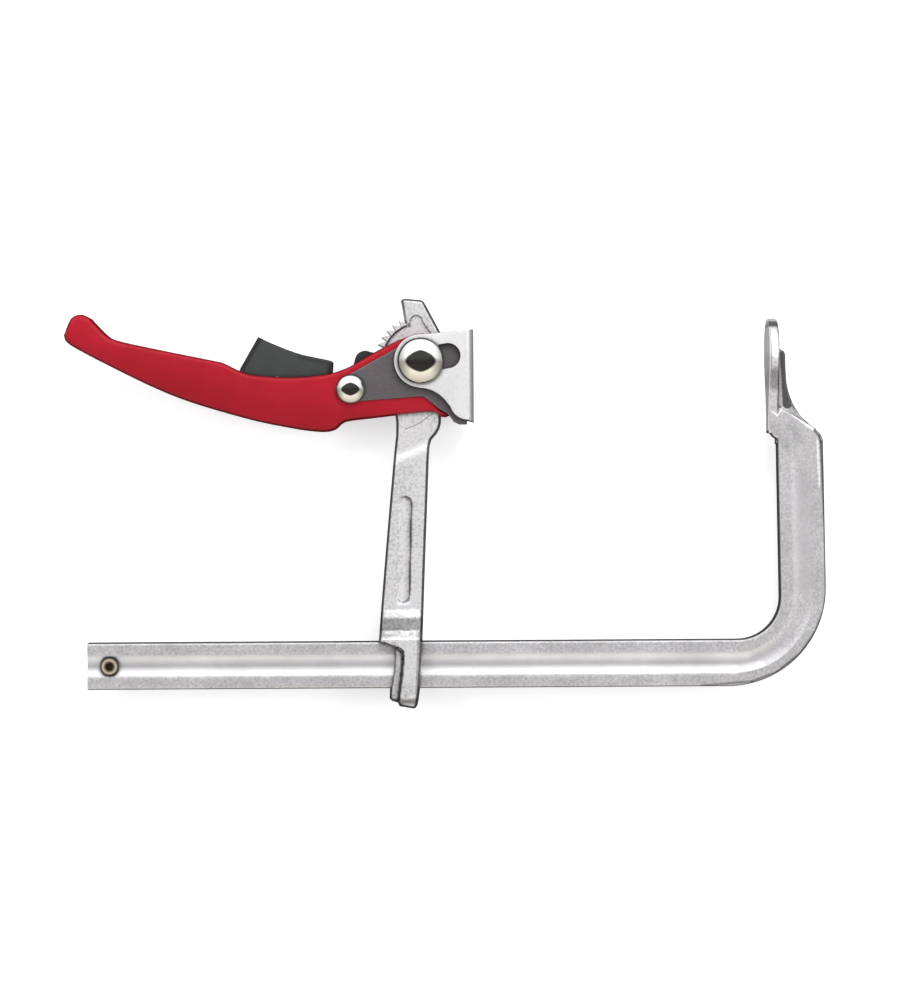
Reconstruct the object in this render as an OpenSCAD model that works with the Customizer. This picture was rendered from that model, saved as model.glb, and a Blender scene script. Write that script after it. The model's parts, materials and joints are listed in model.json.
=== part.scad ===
// Lever clamp: a forged bar with a fixed jaw, and a sliding arm that is tightened by a ratchet lever.
// The clamp lies flat: X runs along the rail, Y across the throat, Z through the thickness.
// The origin is the middle of the fixed jaw's face, which looks along -X.

/* [Rail and fixed arm] */
// Length of the rail, from the fixed jaw's face to its free end
rail_len = 306; // [250:1:420]
// Height of the rail's section
rail_h = 21; // [18:0.5:26]
// Thickness of the bar
bar_t = 10.5; // [9:0.5:12]
// Throat depth, from the jaw's middle to the rail
reach = 124.5; // [115:0.5:150]
// Width of the fixed arm
arm_w = 20.5; // [18:0.5:24]
// How far the fixed arm's inner side lies behind the jaw's face
arm_setback = 5; // [4:0.5:8]
// Inward lean of the fixed arm, in degrees
arm_lean = 0.75; // [0:0.05:1.5]
// Inner radius of the bend
bend_in_r = 19; // [14:0.5:24]
// Outer radius of the bend
bend_out_r = 44; // [38:0.5:50]
// Width of the V groove in both sides
groove_w = 9.2; // [6:0.2:11]
// Depth of the V groove
groove_d = 1.2; // [0.6:0.1:1.6]

/* [Anvil] */
// Radius of the anvil pad's round end
pad_r = 14.5; // [11:0.5:18]
// Top of the anvil pad above the jaw's middle
pad_top = 19.5; // [16:0.5:24]
// Thickness of the anvil pad
pad_t = 4.5; // [3.5:0.25:6]
// Thickness of the rib behind the pad
rib_t = 6; // [4:0.5:8]
// Radius of the hollow behind the rib
rib_hollow_r = 31.9; // [28:0.1:36]
// Lower end of the pad's neck below the jaw's middle
neck_low = 32; // [28:0.5:36]

/* [Stop screw] */
// Distance of the stop screw from the rail's free end
stop_inset = 10; // [8:0.5:16]
// Diameter of the stop screw's head
stop_head_d = 8.2; // [6:0.2:9]
// How far the head stands out of the rail's side
stop_proud = 1.6; // [1:0.1:2.4]
// Diameter of the stop screw's sleeve
stop_sleeve_d = 6; // [5:0.2:6.6]
// Thread diameter of the stop screw
stop_thread_d = 4; // [3:0.2:4.4]
// Width across the flats of its hexagon socket
stop_socket = 3; // [2:0.5:3.5]

/* [Sliding arm] */
// Gap between the lever axle and the fixed jaw's face
axle_x = 155.7; // [150:0.5:200]
// Height of the axle above the jaw's middle
axle_y = 1; // [-2:0.5:4]
// Shank's left side at the head, from the axle
shank_left_top = 11.2; // [10:0.2:13]
// Shank's left side at the rail, from the axle
shank_left_low = 19.6; // [18:0.2:22]
// Shank's right side under the head, from the axle
shank_right_top = 3.4; // [2:0.2:5]
// Shank's right side at the rail, from the axle
shank_right_low = 0.1; // [-1:0.1:1]
// Width of the drafted flank on each side of the forging
draft = 1.2; // [0.6:0.1:1.6]
// Half thickness of the eye's cheeks
cheek_z = 10.8; // [10:0.2:13]
// Half thickness of the thin flange beside the cheek
flange_z = 8; // [7.4:0.2:9]
// Running gap between eye and rail
eye_gap = 0.3; // [0.2:0.05:0.5]
// Thickness of the bridge under the rail
bridge_t = 9.6; // [8:0.2:12]
// Depth of the shank's side pocket
pocket_d = 1.8; // [1:0.1:2.2]
// Width of the shank's side pocket
pocket_w = 6.6; // [5:0.2:7.4]

/* [Ratchet] */
// Radius of the tooth tips about the axle
tooth_tip_r = 20.6; // [20.2:0.1:21]
// Depth of the teeth
tooth_d = 2.8; // [2:0.1:3.2]
// Pitch of the teeth, in degrees
tooth_pitch = 10; // [10:1:10]
// Number of teeth
tooth_count = 9; // [8:1:9]
// Inner radius of the toothed rim
rim_r = 16.6; // [15:0.2:17.4]

/* [Lever] */
// Diameter of the lever axle
axle_d = 11; // [9:0.5:11.5]
// Diameter of the axle's domed heads
axle_head_d = 20.2; // [19:0.2:21]
// Height of the axle's domed heads
axle_head_h = 5.8; // [4:0.2:6.5]
// Diameter of the pawl pin
pin_d = 6; // [4:0.5:7]
// Diameter of the pawl pin's domed heads
pin_head_d = 12.8; // [11:0.2:14]
// Height of the pawl pin's domed heads
pin_head_h = 3.6; // [2.5:0.1:4.5]
// Thickness of each dark lever plate
lever_plate_t = 2.5; // [2:0.1:3]
// Radius of the lever plate round the axle
lever_plate_r = 10.3; // [9.5:0.1:11]
// Distance from the axle to the cam's front, with the lever closed
cam_reach = 20.9; // [20.4:0.1:21]
// Thickness of the handle's wall under the lever plates
wall_t = 1.5; // [1:0.1:2]
// Half width of the handle
handle_z = 9; // [8.9:0.1:9.4]
// Gap between the arm's head and the handle's walls
head_gap = 0.5; // [0.4:0.1:0.8]

/* [Pressure plate] */
// Thickness of the plate's sheet
sheet_t = 2.5; // [2:0.1:2.8]
// Radius of the plate's ears round the axle
ear_r = 11.9; // [11:0.1:12.4]
// Height of the front panel above the axle
panel_up = 14; // [12:0.5:16]
// Depth of the front panel below the axle
panel_down = 27.3; // [26:0.1:28.4]
// Length of the slot from the axle to its end's centre
slot_run = 12.4; // [11:0.2:13]
// Slope of the slot, in degrees
slot_slope = 10.3; // [6:0.1:12]

/* [Hidden] */
$fn = 96;
eps = 0.01;
fit = 0.05;
through = 80;

rail_top = -reach;
rail_low = rail_top - rail_h;
rail_mid = (rail_top + rail_low) / 2;
half_bar = bar_t / 2;
arm_out = arm_setback + arm_w;
bend_in_c = [arm_setback - bend_in_r, rail_top + bend_in_r];
bend_out_c = [arm_out - bend_out_r, rail_low + bend_out_r];
groove_c = (bend_in_c + bend_out_c) / 2;
groove_r = (bend_in_r + bend_out_r) / 2;
pad_c = pad_top - pad_r;
rib_hollow = [arm_setback + 3.3 + rib_hollow_r, -5];
shoulder_in = [arm_setback, -20.3];
shoulder_out = [arm_out, -33.2];
corner_r = 7;
corner_c = [arm_out - 0.6 - corner_r, shoulder_out.y - 3.2];

stop_pos = [-rail_len + stop_inset, rail_mid];
stop_seat = half_bar - groove_d;
stop_top = half_bar + stop_proud;

axle = [-axle_x, axle_y];
root_r = tooth_tip_r - tooth_d;
first_tooth = 118.3;
half_head = half_bar;
wall_in = half_head + head_gap;
wall_out = wall_in + wall_t;
plate_out = wall_out + lever_plate_t;
ear_in = plate_out + 0.5;
ear_out = ear_in + sheet_t;
axle_seat = ear_out + 0.15;
shim = 0.05;
axle_bore = axle_d + 2 * fit;
slot_w = axle_d + 0.3;
pin = axle + [-31.5, -12.3];
pin_bore = pin_d + 2 * fit;
pin_end_r = 5.9;
panel_in = cam_reach + 0.25;
panel_out = panel_in + sheet_t;
cam_slope = 6.2;
cam_end = 88;

pawl_z = 4.75;
pawl_hub_r = 5.6;
nose = pin + [6.6, 12.6];
nose_r = 4.7;
tail_h = 3.5;
tail_end = pin + [-40, 8.5];
tail_half = 2;
pawl_lift = 5.5;
gap_at = first_tooth + 5 * tooth_pitch;
catch_r = tooth_tip_r - tooth_d / 2 + 0.1;
free_r = tooth_tip_r + 0.25;

button_z = 5.2;
button_pin_d = 2.5;
button_pin_c = pin + [-33, 5];
spring_d = 6.4;
spring_wire = 0.8;
spring_sink = 3;
spring_len = 11.3;
spring_c = axle + [-66, -17.5];

// Point at a radius and angle about a centre
function polar(c, r, a) = c + r * [cos(a), sin(a)];

// Smooth curve through the given points, n steps between neighbours
function bend_point(a, b, c, d, t) =
    0.5 * (2 * b + (c - a) * t + (2 * a - 5 * b + 4 * c - d) * t * t + (3 * b - a - 3 * c + d) * t * t * t);
function smooth(p, n) = [
    for (i = [0:len(p) - 2]) for (j = [0:n - 1])
        bend_point(p[max(i - 1, 0)], p[i], p[i + 1], p[min(i + 2, len(p) - 1)], j / n),
    p[len(p) - 1]
];

// A flat link between two round ends of radius r0 and r1, of thickness t
module link(c0, r0, c1, r1, t) {
    a = atan2(c1.y - c0.y, c1.x - c0.x);
    b = acos((r0 - r1) / norm(c1 - c0));
    s0 = r0 - eps;
    s1 = r1 - eps;
    translate(c0) cylinder(r = r0, h = t);
    translate(c1) cylinder(r = r1, h = t);
    linear_extrude(t)
        polygon([polar(c0, s0, a + b), polar(c1, s1, a + b), polar(c1, s1, a - b), polar(c0, s0, a - b)]);
}

// A plate standing on height z0, of thickness t
module plate(z0, t) translate([0, 0, z0]) linear_extrude(t) children();

// Both sides of the mid plane
module both() {
    children();
    mirror([0, 0, 1]) children();
}

// Round washer between two heights
module washer(c, od, id, z0, z1) translate([c.x, c.y, z0]) difference() {
    cylinder(d = od, h = z1 - z0);
    translate([0, 0, -1]) cylinder(d = id, h = z1 - z0 + 2);
}

// Domed head that stands on height z0
module domed_head(d, h, z0) {
    rim = 0.8;
    ball = (pow(d / 2, 2) + pow(h - rim, 2)) / (2 * (h - rim));
    translate([0, 0, z0]) cylinder(d = d, h = rim);
    translate([0, 0, z0 + rim]) intersection() {
        translate([0, 0, h - rim - ball]) sphere(r = ball);
        cylinder(d = d, h = h);
    }
}

// Rivet with two domed heads
module rivet(c, d, head_d, head_h, seat) translate([c.x, c.y, 0]) {
    translate([0, 0, -seat]) cylinder(d = d, h = 2 * seat);
    both() domed_head(head_d, head_h, seat);
}

// Everything up and left of one rounded corner of the bent bar
module corner_block(c, r, up) {
    translate(c) circle(r = r);
    translate(c - [rail_len + c.x, r]) square([rail_len + c.x, r + up]);
    translate(c) rotate(arm_lean) translate([-r, 0]) square([2 * r, up]);
}

module bar_outline() difference() {
    corner_block(bend_out_c, bend_out_r, shoulder_in.y + 1 - bend_out_c.y);
    corner_block_void();
    polygon([shoulder_in, shoulder_in + [0, 90], shoulder_out + [9, 90], shoulder_out + [9, -4.9], shoulder_out]);
    difference() {
        polygon([corner_c, corner_c + [3.4, 6.6], shoulder_out + [2, 1], corner_c + [corner_r + 2, 0]]);
        translate(corner_c) circle(r = corner_r);
    }
}

module corner_block_void() {
    translate(bend_in_c) circle(r = bend_in_r);
    translate(bend_in_c - [rail_len + bend_in_c.x + 1, bend_in_r])
        square([rail_len + bend_in_c.x + 1, bend_in_r + reach]);
    translate(bend_in_c) rotate(arm_lean) translate([-2 * bend_in_r, 0]) square([3 * bend_in_r, 2 * reach]);
}

// Section of the V groove, slimmer by g
function groove_section(g) = [[g - groove_w / 2, eps], [groove_w / 2 - g, eps], [0, g / 2 - groove_d]];

// The V groove of one side: along the rail, round the bend and up the arm
module groove() {
    arm_run = -groove_c.y - neck_low - 6;
    lap = 0.05;
    translate([0, 0, half_bar]) {
        translate([-rail_len - 1, rail_mid, 0]) rotate([90, 0, 90])
            linear_extrude(rail_len + 1 + groove_c.x) polygon(groove_section(0));
        translate([groove_c.x, groove_c.y, 0]) {
            rotate([0, 0, -90]) rotate_extrude(angle = 90 + arm_lean) translate([groove_r, 0])
                polygon(groove_section(0));
            rotate([0, 0, arm_lean]) translate([groove_r, -lap, 0]) rotate([90, 0, 180])
                linear_extrude(arm_run + lap) polygon(groove_section(2 * eps));
        }
    }
}

module pad_outline() {
    translate([0, pad_c]) circle(r = pad_r);
    polygon([
        [-pad_r, pad_c], [pad_r, pad_c], [pad_r - 0.6, 0], [half_bar, -neck_low + 8],
        [half_bar, -neck_low], [-half_bar, -neck_low], [-half_bar, -neck_low + 8], [-pad_r + 0.6, 0]
    ]);
}

module rib_outline() difference() {
    polygon([
        [pad_t - 1, pad_c + 0.8], [arm_setback + 1, pad_c + 0.8], [arm_setback + 3.1, pad_c - 1.4],
        [arm_out + 4, pad_c - 1.4], [arm_out + 4, corner_c.y + 7], corner_c + [3.4, 5.9], corner_c,
        [arm_out - 2, -neck_low - 5], [pad_t - 1, -neck_low - 5]
    ]);
    translate(rib_hollow) circle(r = rib_hollow_r);
}

module rail_with_fixed_arm() color("silver") difference() {
    union() {
        plate(-half_bar, bar_t) bar_outline();
        rotate([0, 90, 0]) linear_extrude(pad_t) pad_outline();
        plate(-half_bar, bar_t) polygon([
            [pad_t - 1, -neck_low + 12], [shoulder_in.x + 0.5, shoulder_in.y - 0.4],
            [arm_setback + 3, -neck_low - 6], [arm_setback - 0.6, -neck_low - 3], [1.2, -neck_low], [1.2, -neck_low + 6]
        ]);
        plate(-rib_t / 2, rib_t) rib_outline();
    }
    both() groove();
    both() translate([stop_pos.x, stop_pos.y, stop_seat]) cylinder(d = stop_head_d + 1, h = 9);
    translate([stop_pos.x, stop_pos.y, -through / 2]) cylinder(d = stop_sleeve_d + 2 * fit, h = through);
}

module stop_screw() color("darkgoldenrod") translate([stop_pos.x, stop_pos.y, 0]) difference() {
    union() {
        translate([0, 0, stop_seat]) cylinder(d = stop_head_d, h = stop_top - stop_seat - 0.5);
        translate([0, 0, stop_top - 0.5]) cylinder(d1 = stop_head_d, d2 = stop_head_d - 1, h = 0.5);
        translate([0, 0, -half_bar + 1]) cylinder(d = stop_thread_d, h = half_bar + stop_seat - 1 + eps);
    }
    translate([0, 0, stop_top - 2]) cylinder(d = stop_socket / cos(30), h = 3, $fn = 6);
}

module stop_sleeve_nut() color("darkgoldenrod") translate([stop_pos.x, stop_pos.y, 0]) difference() {
    union() {
        translate([0, 0, -stop_seat]) cylinder(d = stop_sleeve_d, h = 2 * stop_seat - 0.2);
        translate([0, 0, -stop_top + 0.5]) cylinder(d = stop_head_d, h = stop_top - stop_seat - 0.5);
        translate([0, 0, -stop_top]) cylinder(d1 = stop_head_d - 1, d2 = stop_head_d, h = 0.5);
    }
    translate([0, 0, -half_bar + 0.6]) cylinder(d = stop_thread_d + 2 * fit, h = bar_t);
}

// Outline of the arm above the rail, with the horn on top
module arm_outline() {
    low = rail_top + eye_gap - axle.y;
    translate(axle) polygon([
        [-8.8, 27.2], [-8.3, 28.1], [-7.2, 28.5], [0.3, 27.8], [1.6, 27], [9, 13], [12.2, 6.5], [12.2, -6],
        [9, -20], [8.9, -27.6], [8.2, -30.2], [7, -32.3], [4.5, -35.2], [3.7, -37.6], [shank_right_top, -42],
        [shank_right_low, low], [-shank_left_low, low], [-17.8, -102.5], [-shank_left_top - 1.1, -41.8],
        [-shank_left_top, -27], [-shank_left_top - 1.2, -18], [-13.5, -12], [-9, 0], [-7.2, 18]
    ]);
}

// Ratchet sector: each tooth is steep on its lower side and shallow on the other
module tooth_outline() polygon([
    axle,
    for (k = [0:tooth_count - 1]) let (a = first_tooth + k * tooth_pitch) each [
        polar(axle, root_r, a - 9.2), polar(axle, tooth_tip_r, a - 0.4), polar(axle, tooth_tip_r, a)
    ],
    polar(axle, root_r, first_tooth + (tooth_count - 1) * tooth_pitch + 0.8)
]);

// Half thickness of the forging along its length, seen from the side
module arm_side_profile() {
    z = [
        [40, half_head], [rail_top + 14.8, half_head], [rail_top + 10.9, 7.8], [rail_top + 4.6, 7.2],
        [rail_top + 1.2, cheek_z], [rail_low - 4.5, cheek_z], [rail_low - bridge_t - 1, cheek_z - 2.6]
    ];
    polygon(concat(z, [for (i = [len(z) - 1:-1:0]) [z[i].x, -z[i].y]]));
}

// The thick cheek beside the rail, its left side cut back in a curve
module cheek_outline() translate([axle.x, 0]) polygon([
    [shank_right_low, rail_top + 4], [shank_right_low - 0.7, rail_mid], [shank_right_low - 1.3, rail_low],
    [shank_right_low - 2, rail_low - 7], [shank_right_low - 3.2, rail_low - bridge_t],
    [-10.4, rail_low - bridge_t + 0.9], [-11, rail_low - bridge_t + 3], [-9.8, rail_low],
    [-8.9, rail_mid - 2.6], [-8.1, rail_top - 6.4], [-8.3, rail_top - 5.4], [-9.6, rail_top - 4.1],
    [-11.8, rail_top - 3.3], [-14, rail_top - 2.3], [-16.8, rail_top - 1.3], [-shank_left_low, rail_top + eye_gap],
    [-shank_left_low, rail_top + 4]
]);

// The thin flange that runs down beside the cheek and closes the eye below
module flange_outline() translate([axle.x, 0]) polygon([
    [-9, rail_top - 2], [-12.6, rail_top - 2.4], [-12.9, rail_top - 8], [-13.3, rail_top - 13.6],
    [-14.7, rail_low], [-15.2, rail_low - 5.6], [-10.8, rail_low - 7.2], [-5, rail_low - 7.2], [-5, rail_top - 2]
]);

// Sloping flank of the forging along one edge, from point a to point b
module flank(a, b) {
    z = cheek_z + 2;
    both() translate([a.x, a.y, 0]) rotate([0, 0, atan2(b.y - a.y, b.x - a.x)]) rotate([90, 0, 90])
        translate([0, 0, -2]) linear_extrude(norm(b - a) + 4)
            polygon([[-9, 0.6], [draft * 0.6 / half_head, 0.6], [draft * z / half_head, z], [-9, z]]);
}

module side_pocket() {
    top = axle + [-7.5, -63.4];
    low = [axle.x - 8.6, rail_top + 20.4];
    both() translate([0, 0, half_head - pocket_d]) {
        translate([top.x, top.y, 0]) cylinder(d = pocket_w, h = 9);
        translate([low.x, low.y, 0]) cylinder(d = pocket_w, h = 9);
        translate([top.x, top.y, 0]) rotate([0, 0, atan2(low.y - top.y, low.x - top.x)])
            translate([0, -pocket_w / 2, 0]) cube([norm(low - top), pocket_w, 9]);
    }
}

// Shallow web between the hub and the toothed rim, with a finger that runs up the horn
module web_recess() both() translate([axle.x, axle.y, half_head - 1]) {
    finger = [-1.8, 17.8];
    difference() {
        union() {
            rotate([0, 0, 100]) rotate_extrude(angle = 105) square([rim_r, 3]);
            translate([finger.x, finger.y, 0]) cylinder(r = 2.9, h = 3);
            linear_extrude(3) polygon([[-4.6, 10], [-4.6, 17.6], [0.8, 18.9], [5, 12.1], [8, 7]]);
        }
        translate([0, 0, -1]) cylinder(d = axle_head_d + 0.6, h = 5);
    }
}

module sliding_arm() {
    left_low = [axle.x - shank_left_low, rail_top];
    left_top = axle + [-shank_left_top - 0.2, -29];
    right_low = [axle.x + shank_right_low - 3, rail_low - bridge_t];
    right_top = axle + [shank_right_top + 0.1, -40];
    color("silver") difference() {
        union() {
            intersection() {
                union() {
                    plate(-through / 2, through) arm_outline();
                    plate(-through / 2, through) cheek_outline();
                }
                translate([axle.x, 0, 0]) rotate([90, 0, 90]) linear_extrude(2 * through, center = true) arm_side_profile();
            }
            plate(-flange_z, 2 * flange_z) flange_outline();
            plate(-half_head, 2 * half_head) tooth_outline();
        }
        plate(-half_bar - eye_gap, bar_t + 2 * eye_gap)
            translate([-rail_len, rail_low - eye_gap]) square([rail_len, rail_h + 2 * eye_gap]);
        translate([axle.x, axle.y, -through / 2]) cylinder(d = axle_bore, h = through);
        flank(left_top, left_low);
        flank(right_low, right_top);
        side_pocket();
        web_recess();
    }
}

module lever_axle() color("gainsboro") rivet(axle, axle_d, axle_head_d, axle_head_h, axle_seat);

// Side of the pressure plate: the ear ring, the panel and the curved cut-out under the ear
module ear_blank() translate([axle.x, axle.y, -ear_out]) difference() {
    union() {
        cylinder(r = ear_r, h = 2 * ear_out);
        linear_extrude(2 * ear_out) polygon([
            [-4, 8], [1.5, ear_r - 0.3], [panel_in, panel_up - 0.3], [panel_out, panel_up],
            [panel_out, -panel_down], [panel_in, -panel_down], [13, -22.2], [5, -ear_r + 0.2], [-4, -8]
        ]);
    }
    translate([-1, -ear_r - 15.6, -1]) cylinder(r = 15.4, h = through);
    translate([0, 0, -1]) difference() {
        translate([12, -panel_down - 1, 0]) cube([panel_in - 12, 7, through]);
        translate([panel_in, -panel_down + 9.2, 0]) cylinder(r = 8.4, h = through);
    }
}

module pressure_plate() {
    slot_low = -1.5;
    bend_r = sheet_t + 0.5;
    color("gainsboro") difference() {
        intersection() {
            ear_blank();
            difference() {
                translate([axle.x, 0, 0]) rotate([90, 0, 0]) linear_extrude(4 * through, center = true) union() {
                    translate([-through, -ear_out]) square([through + panel_out - bend_r, 2 * ear_out]);
                    translate([0, -ear_out + bend_r]) square([panel_out, 2 * (ear_out - bend_r)]);
                    for (s = [-1, 1]) translate([panel_out - bend_r, s * (ear_out - bend_r)]) circle(r = bend_r);
                }
                translate([axle.x - through, -through, -ear_in]) cube([through + panel_in, 2 * through, 2 * ear_in]);
            }
        }
        translate([axle.x, axle.y, -through / 2]) rotate([0, 0, slot_slope]) {
            translate([slot_low, 0, 0]) cylinder(d = slot_w, h = through);
            translate([slot_run, 0, 0]) cylinder(d = slot_w, h = through);
            translate([slot_low, -slot_w / 2, 0]) cube([slot_run - slot_low, slot_w, through]);
        }
    }
}

// Point of the cam where its normal has angle a: the reach falls evenly as the lever opens
function cam_point(a) = let (h = cam_reach - cam_slope * a * PI / 180)
    [h * cos(a) + cam_slope * sin(a), h * sin(a) - cam_slope * cos(a)];

// Lever plate of thickness t, grown by g where the handle makes room for it
module lever_plate_blank(z0, t, g = 0) translate([0, 0, z0]) {
    link(pin, pin_end_r + g, axle, lever_plate_r + g, t);
    translate(axle) linear_extrude(t) polygon(concat(
        [for (a = [0:4:cam_end]) cam_point(a) + [0, g]],
        [[0, 0], [-30, -12], [-30.7, -18.1 - g], [0.6 - g, -15.7 - g], [1.9 - g, -16.4 - g], [8.6 - g, -21.6 - g],
         [11.7 - g, -23.4 - g], [13.1 - g, -24.6 - g], [14.7 - g, -26.9 - g], [17.2, -28.1 - g],
         [cam_reach - 0.3, -28.1 - g]]
    ));
}

module lever_plate(z0) color("dimgray") difference() {
    lever_plate_blank(z0, lever_plate_t);
    translate([axle.x, axle.y, -through / 2]) cylinder(d = axle_bore, h = through);
    translate([pin.x, pin.y, -through / 2]) cylinder(d = pin_bore, h = through);
}

module lever_plate_front() lever_plate(wall_out);

module lever_plate_rear() lever_plate(-plate_out);

// Handle seen from the side: points from the axle, along the top to the tip and back along the bottom
grip_top = [
    [-9.2, 9.2], [-18.1, 4.9], [-26.2, 0.6], [-33.2, -3.1], [-42.8, -5.7], [-58.4, -6.8], [-74.1, -5.8],
    [-80.7, -4], [-88.4, -0.3], [-94.2, 1.1], [-121, 6.7], [-136, 10.2], [-141.1, 12.9], [-146.3, 18.2]
];
grip_tip = [
    [-148.8, 20.2], [-152.6, 21.3], [-156.8, 19.4], [-159.9, 12.6], [-158.6, 9.6], [-156.8, 8.2]
];
grip_low = [
    [-143.4, 0.7], [-121.1, -10.4], [-103.2, -17.7], [-76.5, -25.6], [-58.6, -29.4], [-49.6, -30.8],
    [-43, -31.2], [-38.7, -30.2], [-35.3, -27.4], [-31.7, -26.3], [-22.8, -25.3], [-9.4, -23.8], [5, -22.7]
];

module handle_outline() translate(axle) {
    circle(r = ear_r);
    polygon(concat(
        [polar([0, 0], ear_r, 112)], smooth(grip_top, 3), smooth(grip_tip, 4), smooth(grip_low, 3),
        [[6, -23.9], [8, -24.3], [10, -25.1], [11.6, -24.7], [13, -24.1], [11.7, -23.3], [8.6, -21.5],
         [7, -19], [ear_r, 0], [0, 0]]
    ));
}

// Room for pawl, button and spring between the walls, open on top
module handle_pocket() translate(axle) polygon([
    [-88, 30], [-84.5, -7], [-84.5, -13], [-50, -25], [-36, -22], [-30, -40], [60, -40], [60, 40], [-60, 40]
]);

module handle() color("crimson") difference() {
    plate(-handle_z, 2 * handle_z) handle_outline();
    plate(-wall_in, 2 * wall_in) handle_pocket();
    both() {
        lever_plate_blank(wall_out, handle_z, 0.15);
        plate(wall_out, handle_z)
            translate(axle) polygon([[-10, 9.5], [-3, 14], [30, 14], [30, -22], [8, -20.5], [0, 0]]);
    }
    translate([axle.x, axle.y, -through / 2]) cylinder(d = axle_bore, h = through);
    translate([pin.x, pin.y, -through / 2]) cylinder(d = pin_bore, h = through);
    translate([spring_c.x, spring_c.y, 0]) rotate([90, 0, 0]) cylinder(d = spring_d + 0.8, h = spring_sink);
}

// Pawl: hub on the pin, round nose with one tooth, and a tail that carries the button
// What is drawn with the pawl dropped into the teeth, turned up to where the pawl rests
module lifted() translate(pin) rotate(pawl_lift) translate(-pin) children();

module pawl_tooth_outline() lifted() polygon([
    polar(axle, catch_r, gap_at + 3.3), polar(axle, catch_r, gap_at + 4.6), polar(axle, free_r, gap_at + 8.8),
    polar(axle, free_r + 3, gap_at + 9), polar(axle, free_r + 3, gap_at + 2), polar(axle, free_r, gap_at + 2.4)
]);

module tail_outline() polygon([pin + [0, 3], pin + [0, -3], tail_end + [0, -tail_h], tail_end]);

module pawl() color("#303033") difference() {
    union() {
        difference() {
            translate([0, 0, -pawl_z]) {
                translate(pin) cylinder(r = pawl_hub_r, h = 2 * pawl_z);
                link(pin + [3.4, 1], nose_r - 0.3, nose, nose_r, 2 * pawl_z);
            }
            lifted() translate([axle.x, axle.y, -through / 2]) cylinder(r = free_r, h = through);
        }
        plate(-pawl_z, 2 * pawl_z) pawl_tooth_outline();
        plate(-tail_half, 2 * tail_half) tail_outline();
    }
    translate([pin.x, pin.y, -through / 2]) cylinder(d = pin_bore, h = through);
    translate([button_pin_c.x, button_pin_c.y, -through / 2]) cylinder(d = button_pin_d + 2 * fit, h = through);
}

// Release button: a cap over the pawl's tail
module button_outline() translate(axle) polygon(concat(
    [[-82, -8], [-81.1, -2.9]],
    smooth([[-72.9, 11.5], [-65.5, 8], [-54.3, 3.7], [-41, 0.7], [-39.4, -0.6]], 4),
    [[-39.6, -3], [-40, -8.5]]
));

module release_button() color("#222224") difference() {
    plate(-button_z, 2 * button_z) button_outline();
    plate(-tail_half - 0.1, 2 * (tail_half + 0.1)) polygon([
        pin + [0, 3.2], pin + [0, -3.2], tail_end + [-0.3, -tail_h - 0.2], tail_end + [-0.3, 0.2]
    ]);
    translate([button_pin_c.x, button_pin_c.y, -through / 2]) cylinder(d = button_pin_d + 2 * fit, h = through);
}

module button_pin() color("silver")
    translate([button_pin_c.x, button_pin_c.y, -button_z + 0.3]) cylinder(d = button_pin_d, h = 2 * button_z - 0.6);

module pawl_pin() color("gainsboro") rivet(pin, pin_d, pin_head_d, pin_head_h, plate_out + 0.1);

// Coil spring: wire rings swept along a helix with closed ends
module pawl_spring() {
    turns = 6;
    steps = 16;
    sides = 8;
    rings = turns * steps;
    mean_r = (spring_d - spring_wire) / 2;
    rise = spring_len - spring_wire - 0.4;
    function ring_point(i, j) = let (a = 360 * i / steps, b = 360 * j / sides)
        [(mean_r + spring_wire / 2 * cos(b)) * cos(a), (mean_r + spring_wire / 2 * cos(b)) * sin(a),
         spring_wire / 2 + 0.2 + rise * i / rings + spring_wire / 2 * sin(b)];
    color("silver") translate([spring_c.x, spring_c.y - spring_sink, 0]) rotate([-90, 0, 0]) polyhedron(
        points = [for (i = [0:rings]) for (j = [0:sides - 1]) ring_point(i, j)],
        faces = concat(
            [[for (j = [0:sides - 1]) j]],
            [for (i = [0:rings - 1]) for (j = [0:sides - 1]) let (k = (j + 1) % sides)
                each [[i * sides + j, (i + 1) * sides + j, (i + 1) * sides + k],
                      [i * sides + j, (i + 1) * sides + k, i * sides + k]]],
            [[for (j = [sides - 1:-1:0]) rings * sides + j]]
        )
    );
}

module thrust_washer_front() color("goldenrod") washer(axle, axle_head_d, axle_bore, half_head, wall_in - shim);
module thrust_washer_rear() color("goldenrod") washer(axle, axle_head_d, axle_bore, -wall_in + shim, -half_head);
module ear_washer_front() color("gray") washer(axle, axle_head_d - 0.4, axle_bore, plate_out + shim, ear_in);
module ear_washer_rear() color("gray") washer(axle, axle_head_d - 0.4, axle_bore, -ear_in, -plate_out - shim);
module pawl_washer_front() color("gray") washer(pin, 10, pin_bore, pawl_z + shim, wall_in);
module pawl_washer_rear() color("gray") washer(pin, 10, pin_bore, -wall_in, -pawl_z - shim);

rail_with_fixed_arm();
stop_screw();
stop_sleeve_nut();
sliding_arm();
lever_axle();
pressure_plate();
lever_plate_front();
lever_plate_rear();
handle();
pawl();
release_button();
button_pin();
pawl_pin();
pawl_spring();
thrust_washer_front();
thrust_washer_rear();
ear_washer_front();
ear_washer_rear();
pawl_washer_front();
pawl_washer_rear();
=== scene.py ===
import json
import math

import bmesh
import bpy
from mathutils import Matrix, Vector, noise
from mathutils.geometry import delaunay_2d_cdt


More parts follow.
